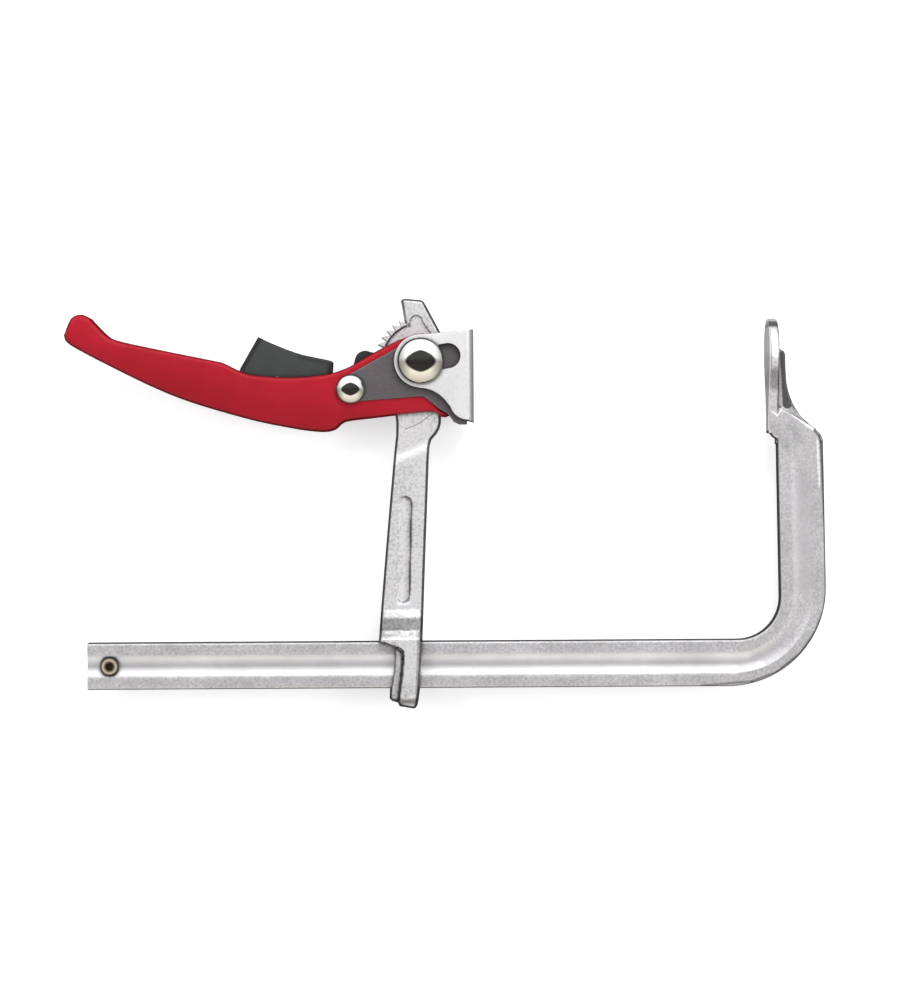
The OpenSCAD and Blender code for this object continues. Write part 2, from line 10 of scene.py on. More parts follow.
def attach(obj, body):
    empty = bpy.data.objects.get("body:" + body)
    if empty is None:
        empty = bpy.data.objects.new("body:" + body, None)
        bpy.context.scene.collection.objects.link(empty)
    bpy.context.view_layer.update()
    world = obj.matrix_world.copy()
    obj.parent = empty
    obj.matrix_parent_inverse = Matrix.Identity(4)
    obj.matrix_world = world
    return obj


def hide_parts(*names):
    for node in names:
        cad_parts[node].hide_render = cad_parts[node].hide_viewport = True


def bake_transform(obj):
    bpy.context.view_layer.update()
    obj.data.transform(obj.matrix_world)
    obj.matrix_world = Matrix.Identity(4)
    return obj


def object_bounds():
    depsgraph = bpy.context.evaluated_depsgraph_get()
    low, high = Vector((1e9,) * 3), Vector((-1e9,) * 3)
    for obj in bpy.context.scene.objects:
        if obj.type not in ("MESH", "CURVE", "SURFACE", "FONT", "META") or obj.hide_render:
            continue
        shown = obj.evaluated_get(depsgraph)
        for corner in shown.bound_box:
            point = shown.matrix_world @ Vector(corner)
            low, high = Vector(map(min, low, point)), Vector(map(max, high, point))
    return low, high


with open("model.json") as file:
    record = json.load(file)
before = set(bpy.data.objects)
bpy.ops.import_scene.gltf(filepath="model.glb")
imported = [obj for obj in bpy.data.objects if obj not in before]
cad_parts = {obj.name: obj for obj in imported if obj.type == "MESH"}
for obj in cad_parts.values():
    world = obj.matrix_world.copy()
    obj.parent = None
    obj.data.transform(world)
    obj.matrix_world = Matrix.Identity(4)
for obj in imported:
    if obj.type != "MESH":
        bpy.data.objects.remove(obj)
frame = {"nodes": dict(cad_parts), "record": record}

cad_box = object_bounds()

# The bench and the view. The clamp lies flat on its side on a pale table and is looked at from
# straight above, from one and a half metres, so that its side shows almost without perspective.
scene = bpy.context.scene
scene.view_settings.view_transform = "Standard"
VIEW_X, VIEW_Y, VIEW_HEIGHT = -0.14294, -0.06123, 1.5
VIEW_TALL = 0.45
VIEW_ROLL = math.radians(0.35)
SENSOR = 36

camera_data = bpy.data.cameras.new("camera")
camera_data.sensor_fit = "VERTICAL"
camera_data.sensor_height = SENSOR
camera_data.lens = SENSOR * VIEW_HEIGHT / VIEW_TALL
camera_data.clip_start = 0.01
camera_data.clip_end = 20
camera = bpy.data.objects.new("camera", camera_data)
camera.location = (VIEW_X, VIEW_Y, VIEW_HEIGHT)
camera.rotation_euler = (0, 0, -VIEW_ROLL)
scene.collection.objects.link(camera)
scene.camera = camera


def new_finish(name):
    """An empty procedural material: its tree, its shader, and object coordinates to draw on."""
    finish = bpy.data.materials.new(name)
    finish.use_nodes = True
    tree = finish.node_tree
    shader = tree.nodes["Principled BSDF"]
    where = tree.nodes.new("ShaderNodeTexCoord").outputs["Object"]
    return finish, tree, shader, where


def add_node(tree, kind, inputs=None, **settings):
    """One node; its inputs, by name or index, are linked to a socket or set to a plain value."""
    node = tree.nodes.new(kind)
    for key, value in settings.items():
        setattr(node, key, value)
    for key, value in (inputs or {}).items():
        if isinstance(value, bpy.types.NodeSocket):
            tree.links.new(value, node.inputs[key])
        else:
            node.inputs[key].default_value = value
    return node


def speckle(tree, where, size, detail, harshness=0.5):
    """Noise from 0 to 1 with so many grains to a metre."""
    inputs = {"Vector": where, "Scale": size, "Detail": detail, "Roughness": harshness}
    return add_node(tree, "ShaderNodeTexNoise", inputs).outputs["Fac"]


def ranged(tree, value, given, wanted):
    """A value's given range stretched to the wanted one, and held at its ends."""
    inputs = {"Value": value, "From Min": given[0], "From Max": given[1],
              "To Min": wanted[0], "To Max": wanted[1]}
    return add_node(tree, "ShaderNodeMapRange", inputs).outputs[0]


def grey(tree, tone):
    """A matt grey shader."""
    return add_node(tree, "ShaderNodeBsdfDiffuse", {"Color": (tone, tone, tone, 1)}).outputs[0]


# pale to the camera, dark in the polished metal's mirror, grey in the light it throws back
FLOOR_SIZE, FLOOR_GAP = 6.0, 0.0002
FLOOR_TONE, FLOOR_MIRRORED, FLOOR_BOUNCED = 0.86, 0.03, 0.40
floor_finish, tree, shader, where = new_finish("bench_white")
shader.inputs["Base Color"].default_value = (FLOOR_TONE, FLOOR_TONE, FLOOR_TONE, 1)
shader.inputs["Roughness"].default_value = 0.9
shader.inputs["Specular IOR Level"].default_value = 0.1
lift = ranged(tree, speckle(tree, where, 40.0, 2.0), (0, 1), (0.46, 0.50))
glow = add_node(tree, "ShaderNodeEmission", {"Strength": lift, "Color": (1, 1, 1, 1)})
both = add_node(tree, "ShaderNodeAddShader", {0: shader.outputs[0], 1: glow.outputs[0]})
ray = tree.nodes.new("ShaderNodeLightPath").outputs
unseen = add_node(tree, "ShaderNodeMixShader",
                  {0: ray["Is Glossy Ray"], 1: grey(tree, FLOOR_BOUNCED), 2: grey(tree, FLOOR_MIRRORED)})
seen = add_node(tree, "ShaderNodeMixShader",
                {0: ray["Is Camera Ray"], 1: unseen.outputs[0], 2: both.outputs[0]})
tree.links.new(seen.outputs[0], tree.nodes["Material Output"].inputs["Surface"])

bpy.ops.mesh.primitive_plane_add(size=FLOOR_SIZE, location=(VIEW_X, VIEW_Y, cad_box[0][2] - FLOOR_GAP))
floor = bpy.context.object
floor.name = "bench"
floor.data.materials.append(floor_finish)

# The studio light. Polished metal sees a white wall above the clamp, a warmer one below it, a dark
# patch overhead and a dark horizon; everything else gets an even light, strongest from overhead.
world = bpy.data.worlds.new("studio")
scene.world = world
world.use_nodes = True
sky = world.node_tree
sky.nodes.clear()


def maths(tree, operation, *terms):
    """A sum; its terms are numbers or sockets."""
    return add_node(tree, "ShaderNodeMath", dict(enumerate(terms)), operation=operation).outputs[0]


look = add_node(sky, "ShaderNodeTexCoord").outputs["Generated"]
ahead = add_node(sky, "ShaderNodeSeparateXYZ", {0: look}).outputs
WALL = ((0.0, (0.50, 0.46, 0.38, 1)), (0.2, (0.56, 0.53, 0.46, 1)), (0.485, (0.50, 0.48, 0.44, 1)),
        (0.515, (0.62, 0.62, 0.62, 1)), (0.60, (1.0, 1.0, 1.0, 1)))
wall = add_node(sky, "ShaderNodeValToRGB", {"Fac": maths(sky, "MULTIPLY_ADD", ahead["Y"], 0.5, 0.5)})
band = wall.color_ramp.elements
while len(band) < len(WALL):
    band.new(1.0)
for element, (place, colour) in zip(band, WALL):
    element.position = place
    element.color = colour

# the dark patch is a rounded box: its half side as a share of the sky, and how square it is
PATCH_X, PATCH_Y = (0.88, 1.6), (0.67, 1.7)
PATCH_RIM, PATCH_LIGHT = (0.86, 1.02), (0.06, 2.0)
flat_x = maths(sky, "ABSOLUTE", ahead["X"])
flat_y = maths(sky, "ABSOLUTE", ahead["Y"])
eye_x, eye_y = (maths(sky, "POWER", maths(sky, "DIVIDE", flat, half), square)
                for flat, (half, square) in ((flat_x, PATCH_X), (flat_y, PATCH_Y)))
patch = ranged(sky, maths(sky, "ADD", eye_x, eye_y), PATCH_RIM, PATCH_LIGHT)
ends = ranged(sky, flat_x, (0.55, 0.95), (1.0, 0.5))
horizon = ranged(sky, ahead["Z"], (0.0, 0.14), (0.05, 1.0))
level = maths(sky, "MULTIPLY", maths(sky, "MULTIPLY", patch, horizon), ends)
mirrored = add_node(sky, "ShaderNodeVectorMath", {0: wall.outputs["Color"], 1: level}, operation="MULTIPLY")
dome = ranged(sky, ahead["Z"], (0, 1), (0.28, 0.80))
ray = sky.nodes.new("ShaderNodeLightPath").outputs
lit = add_node(sky, "ShaderNodeMix", {"Factor": ray["Is Glossy Ray"], 6: dome, 7: mirrored.outputs[0]},
               data_type="RGBA")
shown = add_node(sky, "ShaderNodeMix", {"Factor": ray["Is Camera Ray"], 6: lit.outputs[2], 7: (1, 1, 1, 1)},
                 data_type="RGBA")
sky_light = add_node(sky, "ShaderNodeBackground", {"Color": shown.outputs[2]})
add_node(sky, "ShaderNodeOutputWorld", {"Surface": sky_light.outputs[0]})

for name, place, size, power in (
    ("lamp_top", (0.10, 0.75, 0.85), 0.7, 7.0),
    ("lamp_right", (0.75, -0.05, 0.75), 0.5, 2.5),
    ("lamp_left", (-0.95, 0.10, 0.80), 0.6, 2.5),
):
    lamp_data = bpy.data.lights.new(name, "AREA")
    lamp_data.shape = "DISK"
    lamp_data.size = size
    lamp_data.energy = power
    lamp = bpy.data.objects.new(name, lamp_data)
    lamp.location = place
    aim = Vector((VIEW_X, VIEW_Y, 0)) - Vector(place)
    lamp.rotation_euler = aim.to_track_quat("-Z", "Y").to_euler()
    lamp.visible_glossy = False
    scene.collection.objects.link(lamp)

# Rail with the fixed arm. One drop-forged steel bar, grooved on both sides, bent round to the arm
# and upset at its end into the oval anvil pad with its rib; zinc plated, with a fine grain.
MM = 0.001
HALF_BAR, CORNER = 5.25, 1.3
RAIL_LEN, RAIL_TOP, RAIL_LOW = 306.0, -124.5, -145.5
BEND_IN, BEND_IN_R = Vector((-14.0, -105.5)), 19.0
BEND_OUT, BEND_OUT_R = Vector((-18.5, -101.5)), 44.0
ARM_LEAN = math.radians(0.75)
GROOVE_HALF, GROOVE_DEEP = 4.6, 1.2
GROOVE_END, GROOVE_RUN = -39.5, 7
SHOULDER, SHOULDER_R = (17.9, -36.4), 6.75
THROAT_X, THROAT_LOW, THROAT_RISE = 4.1, -38, 17.4
# the skin of all the steel: spans of its noise, size of its clouds, height of its bump, the level
# where a mark turns to a painted white highlight, the lightest it gets, and how far painted shade reaches in
# a nook
FINE_SPAN, CLOUD_SPAN, CLOUD_SIZE = (0.25, 0.75), (0.3, 0.7), 14
RELIEF, PAINTED_WHITE, LIGHTEST, NOOK = 0.35, 1.25, 0.97, 1.6


def vectors(tree, operation, *terms, result=0):
    """A sum of vectors; its terms are tuples or sockets."""
    node = add_node(tree, "ShaderNodeVectorMath", dict(enumerate(terms)), operation=operation)
    return node.outputs[result]


def scaled(tree, vector, size):
    """A vector or colour times a number."""
    inputs = {0: vector, "Scale": size}
    return add_node(tree, "ShaderNodeVectorMath", inputs, operation="SCALE").outputs[0]


def painted_flanks(tree, dark, low, high):
    """Painted light on a piece's flanks: from dark on its flanks to 1 on its flat sides; below 1 it is
    painted shade, above 1 a painted highlight.
    """
    normal = tree.nodes["Texture Coordinate"].outputs["Normal"]
    facing = add_node(tree, "ShaderNodeSeparateXYZ", {0: normal}).outputs["Z"]
    return ranged(tree, maths(tree, "ABSOLUTE", facing), (low, high), (dark, 1.0))


def painted(tree, place, marks):
    """The product of what each mark gives a place: its last number inside, 1 outside."""
    total = 1.0
    for x0, y0, x1, y1, half, soft, inside in marks:
        start, way = Vector((x0, y0, 0)) * MM, Vector((x1 - x0, y1 - y0, 0)) * MM
        away = vectors(tree, "SUBTRACT", place, start)
        along = vectors(tree, "DOT_PRODUCT", away, way / way.length_squared, result="Value")
        kept = add_node(tree, "ShaderNodeClamp", {"Value": along}).outputs[0]
        far = vectors(tree, "DISTANCE", away, scaled(tree, way, kept), result="Value")
        mark = ranged(tree, far, ((half - soft) * MM, (half + soft) * MM), (inside, 1.0))
        total = maths(tree, "MULTIPLY", total, mark)
    return total


def metal_skin(name, colour, rough, grain, dents, streak=None, metal=0.5,
               flank=(0.2, 0.55, 0.95), marks=(), calm=()):
    """Plated or bare steel: fine speckle, wider clouds, painted light or shade on the flanks, painted
    shade in the nooks and a small bump, brushed if streak says so. A mark is a stretch in mm (x, y to
    x, y, half width, softness) and its brightness, a painted light or shade; past 1 it turns to a
    painted white highlight. Calm stretches, given the same way, hold back the speckle."""
    finish, tree, shader, where = new_finish(name)
    flat = vectors(tree, "MULTIPLY", where, (1, 1, 0))
    if streak:
        where = add_node(tree, "ShaderNodeMapping", {"Vector": where, "Scale": streak}).outputs[0]
    fine = speckle(tree, where, grain, 3.0, 0.65)
    cloud = speckle(tree, where, grain / CLOUD_SIZE, 3.0)
    tone = ranged(tree, fine, FINE_SPAN, (1 - dents, 1 + dents))
    shade = ranged(tree, cloud, CLOUD_SPAN, (1 - dents / 3, 1 + dents / 3))
    speckled, marked = painted(tree, flat, calm), painted(tree, flat, marks)
    tone = maths(tree, "MULTIPLY_ADD", maths(tree, "SUBTRACT", tone, 1.0), speckled, 1.0)
    # painted shade in nooks, creases and the gaps between pieces
    nook = add_node(tree, "ShaderNodeAmbientOcclusion", {"Distance": NOOK * MM}, samples=6)
    nook_shade = ranged(tree, nook.outputs["AO"], (0.35, 0.95), (0.25, 1.0))
    for factor in (shade, marked, painted_flanks(tree, *flank), nook_shade):
        tone = maths(tree, "MULTIPLY", tone, factor)
    tinted = scaled(tree, colour, maths(tree, "MINIMUM", tone, LIGHTEST / max(colour)))
    rub = ranged(tree, fine, (0, 1), (max(rough - 0.08, 0.02), rough + 0.08))
    relief = maths(tree, "MULTIPLY", speckled, RELIEF)
    bump = add_node(tree, "ShaderNodeBump",
                    {"Height": fine, "Strength": relief, "Distance": dents * 0.6 * MM})
    tree.links.new(tinted, shader.inputs["Base Color"])
    tree.links.new(rub, shader.inputs["Roughness"])
    tree.links.new(bump.outputs[0], shader.inputs["Normal"])
    if marks:
        tree.links.new(ranged(tree, marked, (1.0, PAINTED_WHITE), (metal, 0.0)), shader.inputs["Metallic"])
    else:
        shader.inputs["Metallic"].default_value = metal
    return finish


def points(*pairs, at=(0, 0)):
    """Outline points in mm, counted from a place."""
    return [Vector(at) + Vector(p) for p in pairs]


def arc(centre, radius, start, stop, steps):
    """Points round an arc, angles in degrees."""
    return [
        Vector((centre[0] + radius * math.cos(a), centre[1] + radius * math.sin(a)))
        for a in (math.radians(start + (stop - start) * i / steps) for i in range(steps + 1))
    ]


def inset(outline, amount):
    """The outline moved inwards by an amount, its corners mitred; where it is narrow it moves less,
    and stretches that would turn over are drawn together."""
    sharpest, least_share, least_way = 0.45, 0.05, 0.004
    moved = []
    count = len(outline)
    for i, point in enumerate(outline):
        before = (point - outline[i - 1]).normalized()
        after = (outline[(i + 1) % count] - point).normalized()
        n0, n1 = Vector((-before.y, before.x)), Vector((-after.y, after.x))
        step = (n0 + n1) * (amount / max(1 + n0.dot(n1), sharpest))
        share = 1.0
        while share > least_share:
            clear = min((point + step * share - q).length for q in outline)
            if clear >= amount * share * 0.9:
                break
            share *= 0.7
        moved.append(point + step * share)
    for _ in range(60):
        turned = 0
        for i in range(count):
            j = (i + 1) % count
            way = (outline[j] - outline[i]).normalized() * least_way
            if (moved[j] - moved[i]).dot(way) < way.length_squared:
                middle = (moved[i] + moved[j]) / 2
                moved[i], moved[j] = middle - way, middle + way
                turned += 1
        if not turned:
            break
    return moved


def skin(work, rings):
    """Faces from each ring of points to the next."""
    for low, high in zip(rings, rings[1:]):
        for i in range(len(low)):
            j = (i + 1) % len(low)
            work.faces.new((low[i], low[j], high[j], high[i]))


def slab(outline, levels, place=lambda x, y, z: (x, y, z)):
    """A plate cut to an outline; its levels are (height, inset) pairs."""
    work = bmesh.new()
    rings = []
    for height, amount in levels:
        ring = inset(outline, amount) if amount else outline
        rings.append([work.verts.new(Vector(place(p.x, p.y, height)) * MM) for p in ring])
    skin(work, rings)
    for ring in (rings[0], rings[-1]):
        rim = [work.edges.get((ring[i], ring[(i + 1) % len(ring)])) for i in range(len(ring))]
        bmesh.ops.triangle_fill(work, edges=rim, use_beauty=True)
    return work


def drill(centre, radius, low, high, sides=48):
    """The tool for a round hole between two heights."""
    return slab(arc(centre, radius, 0, 360 - 360 / sides, sides - 1), [(low, 0), (high, 0)])


def put_piece(work, name, finish, node, smooth=30):
    """Makes the worked mesh a piece that stands for its CAD node and rides where the node rides."""
    bmesh.ops.recalc_face_normals(work, faces=work.faces)
    mesh = bpy.data.meshes.new(name)
    work.to_mesh(mesh)
    work.free()
    mesh.materials.append(finish)
    mesh.shade_smooth()
    mesh.set_sharp_from_angle(angle=math.radians(smooth))
    piece = bpy.data.objects.new(name, mesh)
    scene.collection.objects.link(piece)
    record = frame["record"]
    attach(piece, next(b for b, nodes in record["behaviour"]["bodies"].items() if node in nodes))
    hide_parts(node)


def cut(work, name, *tools, operation="DIFFERENCE"):
    """Cuts tools out of the worked mesh, or joins them to it, and gives the mesh back."""
    objects = []
    for part in (work, *tools):
        bmesh.ops.recalc_face_normals(part, faces=part.faces)
        mesh = bpy.data.meshes.new(name + "_part")
        part.to_mesh(mesh)
        part.free()
        objects.append(bpy.data.objects.new(name + "_part", mesh))
        scene.collection.objects.link(objects[-1])
    for tool in objects[1:]:
        step = objects[0].modifiers.new("step", "BOOLEAN")
        step.object, step.operation, step.solver = tool, operation, "EXACT"
    graph = bpy.context.evaluated_depsgraph_get()
    result = bpy.data.meshes.new_from_object(objects[0].evaluated_get(graph))
    for old in objects:
        bpy.data.objects.remove(old)
    work = bmesh.new()
    work.from_mesh(result)
    return work


# painted light and shade on the bar, stretch by stretch
BAR_PAINTED_LIGHT = [
    # the anvil: painted highlights on its left flank, face and top, painted shade round its rim, the shoulder
    # and behind the rib
    (-1.6, -30, -1.6, 22, 1.8, 0.1, 4.3), (2.4, 13.8, 2.4, 5, 2.9, 1.1, 1.3),
    (2.4, 5, 2.4, 2.5, 2.4, 3.0, 1.14), (1.0, 19.0, 5.0, 19.0, 1.0, 0.3, 3.5),
    (0.5, 16.1, 5, 16.1, 0.7, 0.4, 0.4), (0.5, 14, 0.9, -5, 0.18, 0.12, 0.45),
    (20.8, -31, 22.8, -33.6, 0.5, 0.35, 0.3),
    (22.8, -33.6, 23.6, -36.2, 0.5, 0.35, 0.25), (22.0, -35, 22.8, -56, 0.35, 0.5, 1.2),
    (2.6, -5.5, 2.6, -10.5, 2.4, 1.0, 0.5), (7.6, 4, 8.8, -19, 2.1, 0.3, 0.2),
    (11.9, -19.8, 13.4, -21.4, 1.2, 0.5, 0.3), (13.4, -22, 17.5, -27, 1.0, 0.6, 0.6),
    # the painted highlight along the edge where the neck meets the arm, and two darker patches below it
    (1.6, -22.4, 4.0, -24.2, 0.35, 0.2, 1.3), (4.0, -24.2, 6.6, -20.8, 0.35, 0.2, 1.3),
    (6.6, -20.6, 20.0, -30.7, 0.5, 0.25, 1.3), (3, -29, 8, -38, 1.8, 1.5, 0.82),
    (14, -36, 10, -29, 2.0, 1.5, 0.88),
    # painted shade along the outer edge, down the arm and round the bend
    (23.6, -36, 25.2, -81, 0.6, 0.4, 0.2), (25.2, -81, 25.5, -104, 0.6, 0.4, 0.2),
    (25.5, -104, 24.3, -112, 0.6, 0.4, 0.2), (24.3, -112, 20.3, -121.8, 0.6, 0.4, 0.2),
    (20.3, -121.8, 14, -130.7, 0.6, 0.4, 0.2), (14, -130.7, 3.3, -139.2, 0.55, 0.4, 0.25),
    (3.3, -139.2, -8, -143.4, 0.5, 0.4, 0.3), (-8, -143.4, -31, -145.2, 0.45, 0.4, 0.4),
    # painted highlights in the groove
    (-16, -138, -4, -135.6, 1.1, 1.2, 1.2), (-4, -135.6, 6, -130, 0.9, 1.8, 1.12),
    (-306, -138, -16, -138, 1.3, 1.5, 1.3), (-306, -131.8, -10, -131.8, 1.4, 1.2, 1.09),
]
DRAWN_SMOOTH = [(-306, -134.8, -12, -134.8, 4.6, 0.5, 0.12), (-12, -134.8, 0, -131.5, 4.6, 0.5, 0.4),
                (15, -100, 15, -55, 4.0, 1.5, 0.45)]
bar_finish = metal_skin("zinc_plated_bar", (0.78, 0.765, 0.785), 0.40, 900.0, 0.27,
                        marks=BAR_PAINTED_LIGHT, calm=DRAWN_SMOOTH)

# stations from the free end round the bend and up the arm: inner point, outer point, groove depth
arm_way = Vector((-math.sin(ARM_LEAN), math.cos(ARM_LEAN)))
stations = [
    (Vector((x, RAIL_TOP)), Vector((x, RAIL_LOW)), GROOVE_DEEP)
    for x in (-RAIL_LEN, -250, -200, -150, -100, -60, -30)
]
for angle in [-90 + 2.5 * i for i in range(37)] + [math.degrees(ARM_LEAN)]:
    way = Vector((math.cos(math.radians(angle)), math.sin(math.radians(angle))))
    stations.append((BEND_IN + BEND_IN_R * way, BEND_OUT + BEND_OUT_R * way, GROOVE_DEEP))
bend_end = stations[-1][:2]
for y in (-90, -75, -60, -50, -46, -44, -42, -40, -38):
    ends = [p + arm_way * ((y - p.y) / arm_way.y) for p in bend_end]
    stations.append((*ends, GROOVE_DEEP * min(1, max(0, (GROOVE_END - y) / GROOVE_RUN))))
shoulder = arc(SHOULDER, SHOULDER_R, 0, 57.8, 8)
for i, outer in enumerate(shoulder):
    throat = Vector((THROAT_X, THROAT_LOW + THROAT_RISE * (i + 1) / len(shoulder)))
    stations.append((throat, outer, 0))

work = bmesh.new()
rings = []
turn = [math.radians(90 * i / 8) for i in range(9)]
edge = [(CORNER - CORNER * math.cos(a), HALF_BAR - CORNER + CORNER * math.sin(a)) for a in turn]
edge.append((CORNER + 0.25, HALF_BAR))
hollow = [GROOVE_HALF * i / 8 for i in range(-8, 9)]
for inner, outer, depth in stations:
    width = (outer - inner).length
    across = (outer - inner) / width
    front = edge + [(width / 2 + s, HALF_BAR - depth * (1 - (s / GROOVE_HALF) ** 2)) for s in hollow]
    front += [(width - s, z) for s, z in reversed(edge)]
    section = front + [(s, -z) for s, z in reversed(front)]
    rings.append([work.verts.new((*((inner + across * s) * MM), z * MM)) for s, z in section])
inner, outer, _ = stations[-1]
middle = (inner + outer) / 2
outward = (outer - inner).normalized()
outward = Vector((-outward.y, outward.x))
end_ring = rings[-1]
for step, shrink in ((0.35, 0.15), (0.6, 0.6)):
    ring = []
    for v in end_ring:
        flat = middle + (v.co.to_2d() / MM - middle) * (1 - shrink / 10) + outward * step
        ring.append(work.verts.new((*(flat * MM), v.co.z * (1 - shrink / HALF_BAR))))
    rings.append(ring)
skin(work, rings)
for ring in (rings[0], rings[-1]):
    work.faces.new(ring)

# the anvil pad, drawn out across the bar's end, its front edge crisp and its back edge round
PAD_SIDE = ((5.25, -32), (5.6, -24), (7.4, -17.5), (10.4, -9.8), (13.9, 0))
PAD_LEVELS = [(0, 0.5), (0.12, 0.15), (0.4, 0), (3.4, 0), (3.9, 0.2), (4.25, 0.6), (4.5, 1.4)]
pad_edge = arc((0, 5), 14.5, -3, 183, 40)
pad_edge += points(*((-x, y) for x, y in reversed(PAD_SIDE))) + points(*PAD_SIDE)
pad = slab(pad_edge, PAD_LEVELS, lambda x, y, z: (z, y, x))
rib_edge = points((3.5, -37), (17.9, -37), (21.3, -30.5)) + arc((40.2, -5), 31.9, 218, 184, 14)
rib_edge += points((8.2, -3), (8.1, 3.2), (7.6, 4.5), (6, 5.7), (3.5, 5.8))
rib = slab(rib_edge, [(-3, 0.9), (-2.7, 0.35), (-2.1, 0), (2.1, 0), (2.7, 0.35), (3, 0.9)])
neck_edge = points((1.2, -26), (1.2, -32), (2.4, -33.6), (4.4, -35), (8, -38), (5.5, -20.7), (3.5, -20))
neck = slab(neck_edge, [(-5.25, 1.5), (-4.6, 0.2), (-4.2, 0), (4.2, 0), (4.6, 0.2), (5.25, 1.5)])
work = cut(work, "anvil", pad, rib, neck, operation="UNION")

# the stop screw's seats and hole
STOP, SEAT_R, SEAT_DEEP, SCREW_R, THROUGH = (-296.0, -135.0), 4.6, 4.0, 3.05, 9
seats = [drill(STOP, SEAT_R, low, low + SEAT_DEEP) for low in (4.05, -8.05)]
work = cut(work, "stop_seat", *seats, drill(STOP, SCREW_R, -THROUGH, THROUGH))
put_piece(work, "forged_bar", bar_finish, "rail_with_fixed_arm", 12)

# The stop at the rail's free end. A yellow-plated socket screw in a sleeve nut, which keeps the
# sliding arm from coming off.
# painted shade round the head's rim and in the socket, with a painted highlight ring between
SCREW_PAINTED_RINGS = [(-296, -135, -295.99, -135, *ring)
               for ring in ((4.5, 0.2, 0.22), (3.5, 0.2, 5.2), (2.3, 0.3, 0.22))]


def repaint(node, finish):
    """Gives a CAD node that is right as it is its finish."""
    mesh = frame["nodes"][node].data
    mesh.materials.clear()
    mesh.materials.append(finish)


brass_finish = metal_skin("yellow_plating", (0.50, 0.42, 0.30), 0.38, 1500.0, 0.15, marks=SCREW_PAINTED_RINGS)
for node in ("stop_screw", "stop_sleeve_nut"):
    repaint(node, brass_finish)

# The sliding arm. A steel forging with an eye that runs on the rail, a shank with a long pocket in
# both sides, and a head with the horn and the ratchet teeth; plated like the bar.
AXLE = Vector((-155.7, 1.0))
AXLE_HOLE_R = 5.55
ROOT_R, TIP_R, RIM_R = 17.8, 20.6, 16.6
FIRST_TOOTH, TOOTH_PITCH, TEETH = 118.3, 10.0, 9
EYE_LOW, EYE_HIGH, EYE_HALF = -145.8, -124.2, 5.55
ARM_PAINTED_LIGHT = [
    # the eye's lip: painted shade, a painted shade band and a painted highlight on its edge; a painted
    # highlight on the horn's edge; painted shade along the seam and side of the foot
    (-176, -112.3, -154, -112.3, 1.9, 0.7, 0.88), (-177.3, -116.7, -144.2, -116.9, 3.3, 0.6, 0.5),
    (-170.6, -121.3, -159.9, -121.4, 1.9, 0.4, 1.35), (-164.4, 27.3, -162.6, 19.2, 0.55, 0.2, 3),
    (-156.7, -124.7, -157.6, -152, 1.4, 0.4, 0.5), (-164.6, -132.3, -165.1, -139.4, 0.9, 0.5, 0.2),
    (-165.1, -139.4, -166.5, -150.2, 0.9, 0.5, 0.2), (-172.9, -124.6, -165.3, -129.1, 0.5, 0.4, 0.35),
    (-165.3, -129.1, -164.6, -132.3, 0.7, 0.4, 0.25), (-164, -146, -157, -146.5, 3.2, 3.0, 0.86),
    # painted shadow under the handle, painted highlights and painted shade on the shank and the foot
    (-168, -25.5, -150, -24.5, 2.0, 2.4, 0.82), (-168, -127, -169.5, -153, 2.2, 0.4, 0.72),
    (-163.3, -29.8, -156.2, -26.6, 0.2, 0.15, 0.35), (-156.2, -26.6, -150.5, -22.4, 0.2, 0.15, 0.35),
    (-167.5, -43.0, -153, -37, 1.5, 1.5, 1.2), (-160.1, -62.8, -161.2, -103.6, 0.5, 0.35, 0.5),
    (-166.2, -107.3, -162.2, -107.3, 0.8, 0.6, 1.2), (-166, -153.6, -158.5, -154.4, 1.9, 0.8, 0.8),
]
arm_finish = metal_skin("zinc_plated_forging", (0.96, 0.945, 0.965), 0.40, 750.0, 0.42, metal=0.42,
                        marks=ARM_PAINTED_LIGHT)

# the outline, from the axle: the horn, the toothed quarter, down the left side, the flange, the
# eye's foot and up the right side
HORN = [(0.3, 27.8), (-7.2, 28.5), (-8.3, 28.1), (-8.8, 27.2), (-7.5, 19.5)]
LEFT_SIDE = [(-12.6, -8.5), (-13.5, -12), (-12.4, -18), (-11.2, -27), (-11.3, -33), (-12.3, -41.8),
             (-14.0, -60), (-16.0, -82), (-17.8, -102.5), (-18.6, -112), (-19.4, -122.5)]
FLANGE = [(-19.6, -125.2), (-18.9, -126.2), (-16.4, -127.0), (-13.6, -128.0), (-12.9, -129.5),
          (-12.9, -133.5), (-13.3, -139.1), (-14.7, -146.5), (-15.0, -151.2), (-13.9, -152.4),
          (-11.2, -153.3)]
FOOT = [(-10.5, -154.9), (-9.4, -155.1), (-4.3, -156.0), (-3.2, -155.7), (-2.4, -154.4), (-1.9, -152)]
RIGHT_SIDE = [(-1.2, -146.5), (-0.6, -136), (-0.1, -129), (0.1, -122), (0.6, -110), (1.6, -85), (2.6, -62),
              (3.3, -44), (3.7, -38.2), (4.5, -35.2), (7, -32.3), (8.2, -30.2), (8.9, -27.6), (9, -20),
              (12.2, -6), (12.2, 6.5), (9, 13), (1.6, 27)]
toothed = [tuple(p) for p in arc((0, 0), ROOT_R, 113, 199, 22)]
arm_edge = points(*HORN, *toothed, *LEFT_SIDE, *FLANGE, *FOOT, *RIGHT_SIDE, at=AXLE)

# the cheek's left side below the eye's lip: right of it the forging is thick, left of it is the flange
CHEEK_SIDE = [(-20, -125.5), (-16.8, -125.8), (-14, -126.6), (-11.8, -127.6), (-9.6, -128.5), (-8.4, -129.8),
              (-8.1, -131.8), (-8.9, -137.6), (-9.8, -145.5), (-10.6, -151), (-11.0, -156)]
CHEEK_HALF, FLANGE_DROP, FLANGE_TAPER = 8.0, 2.4, (-149.5, -154)
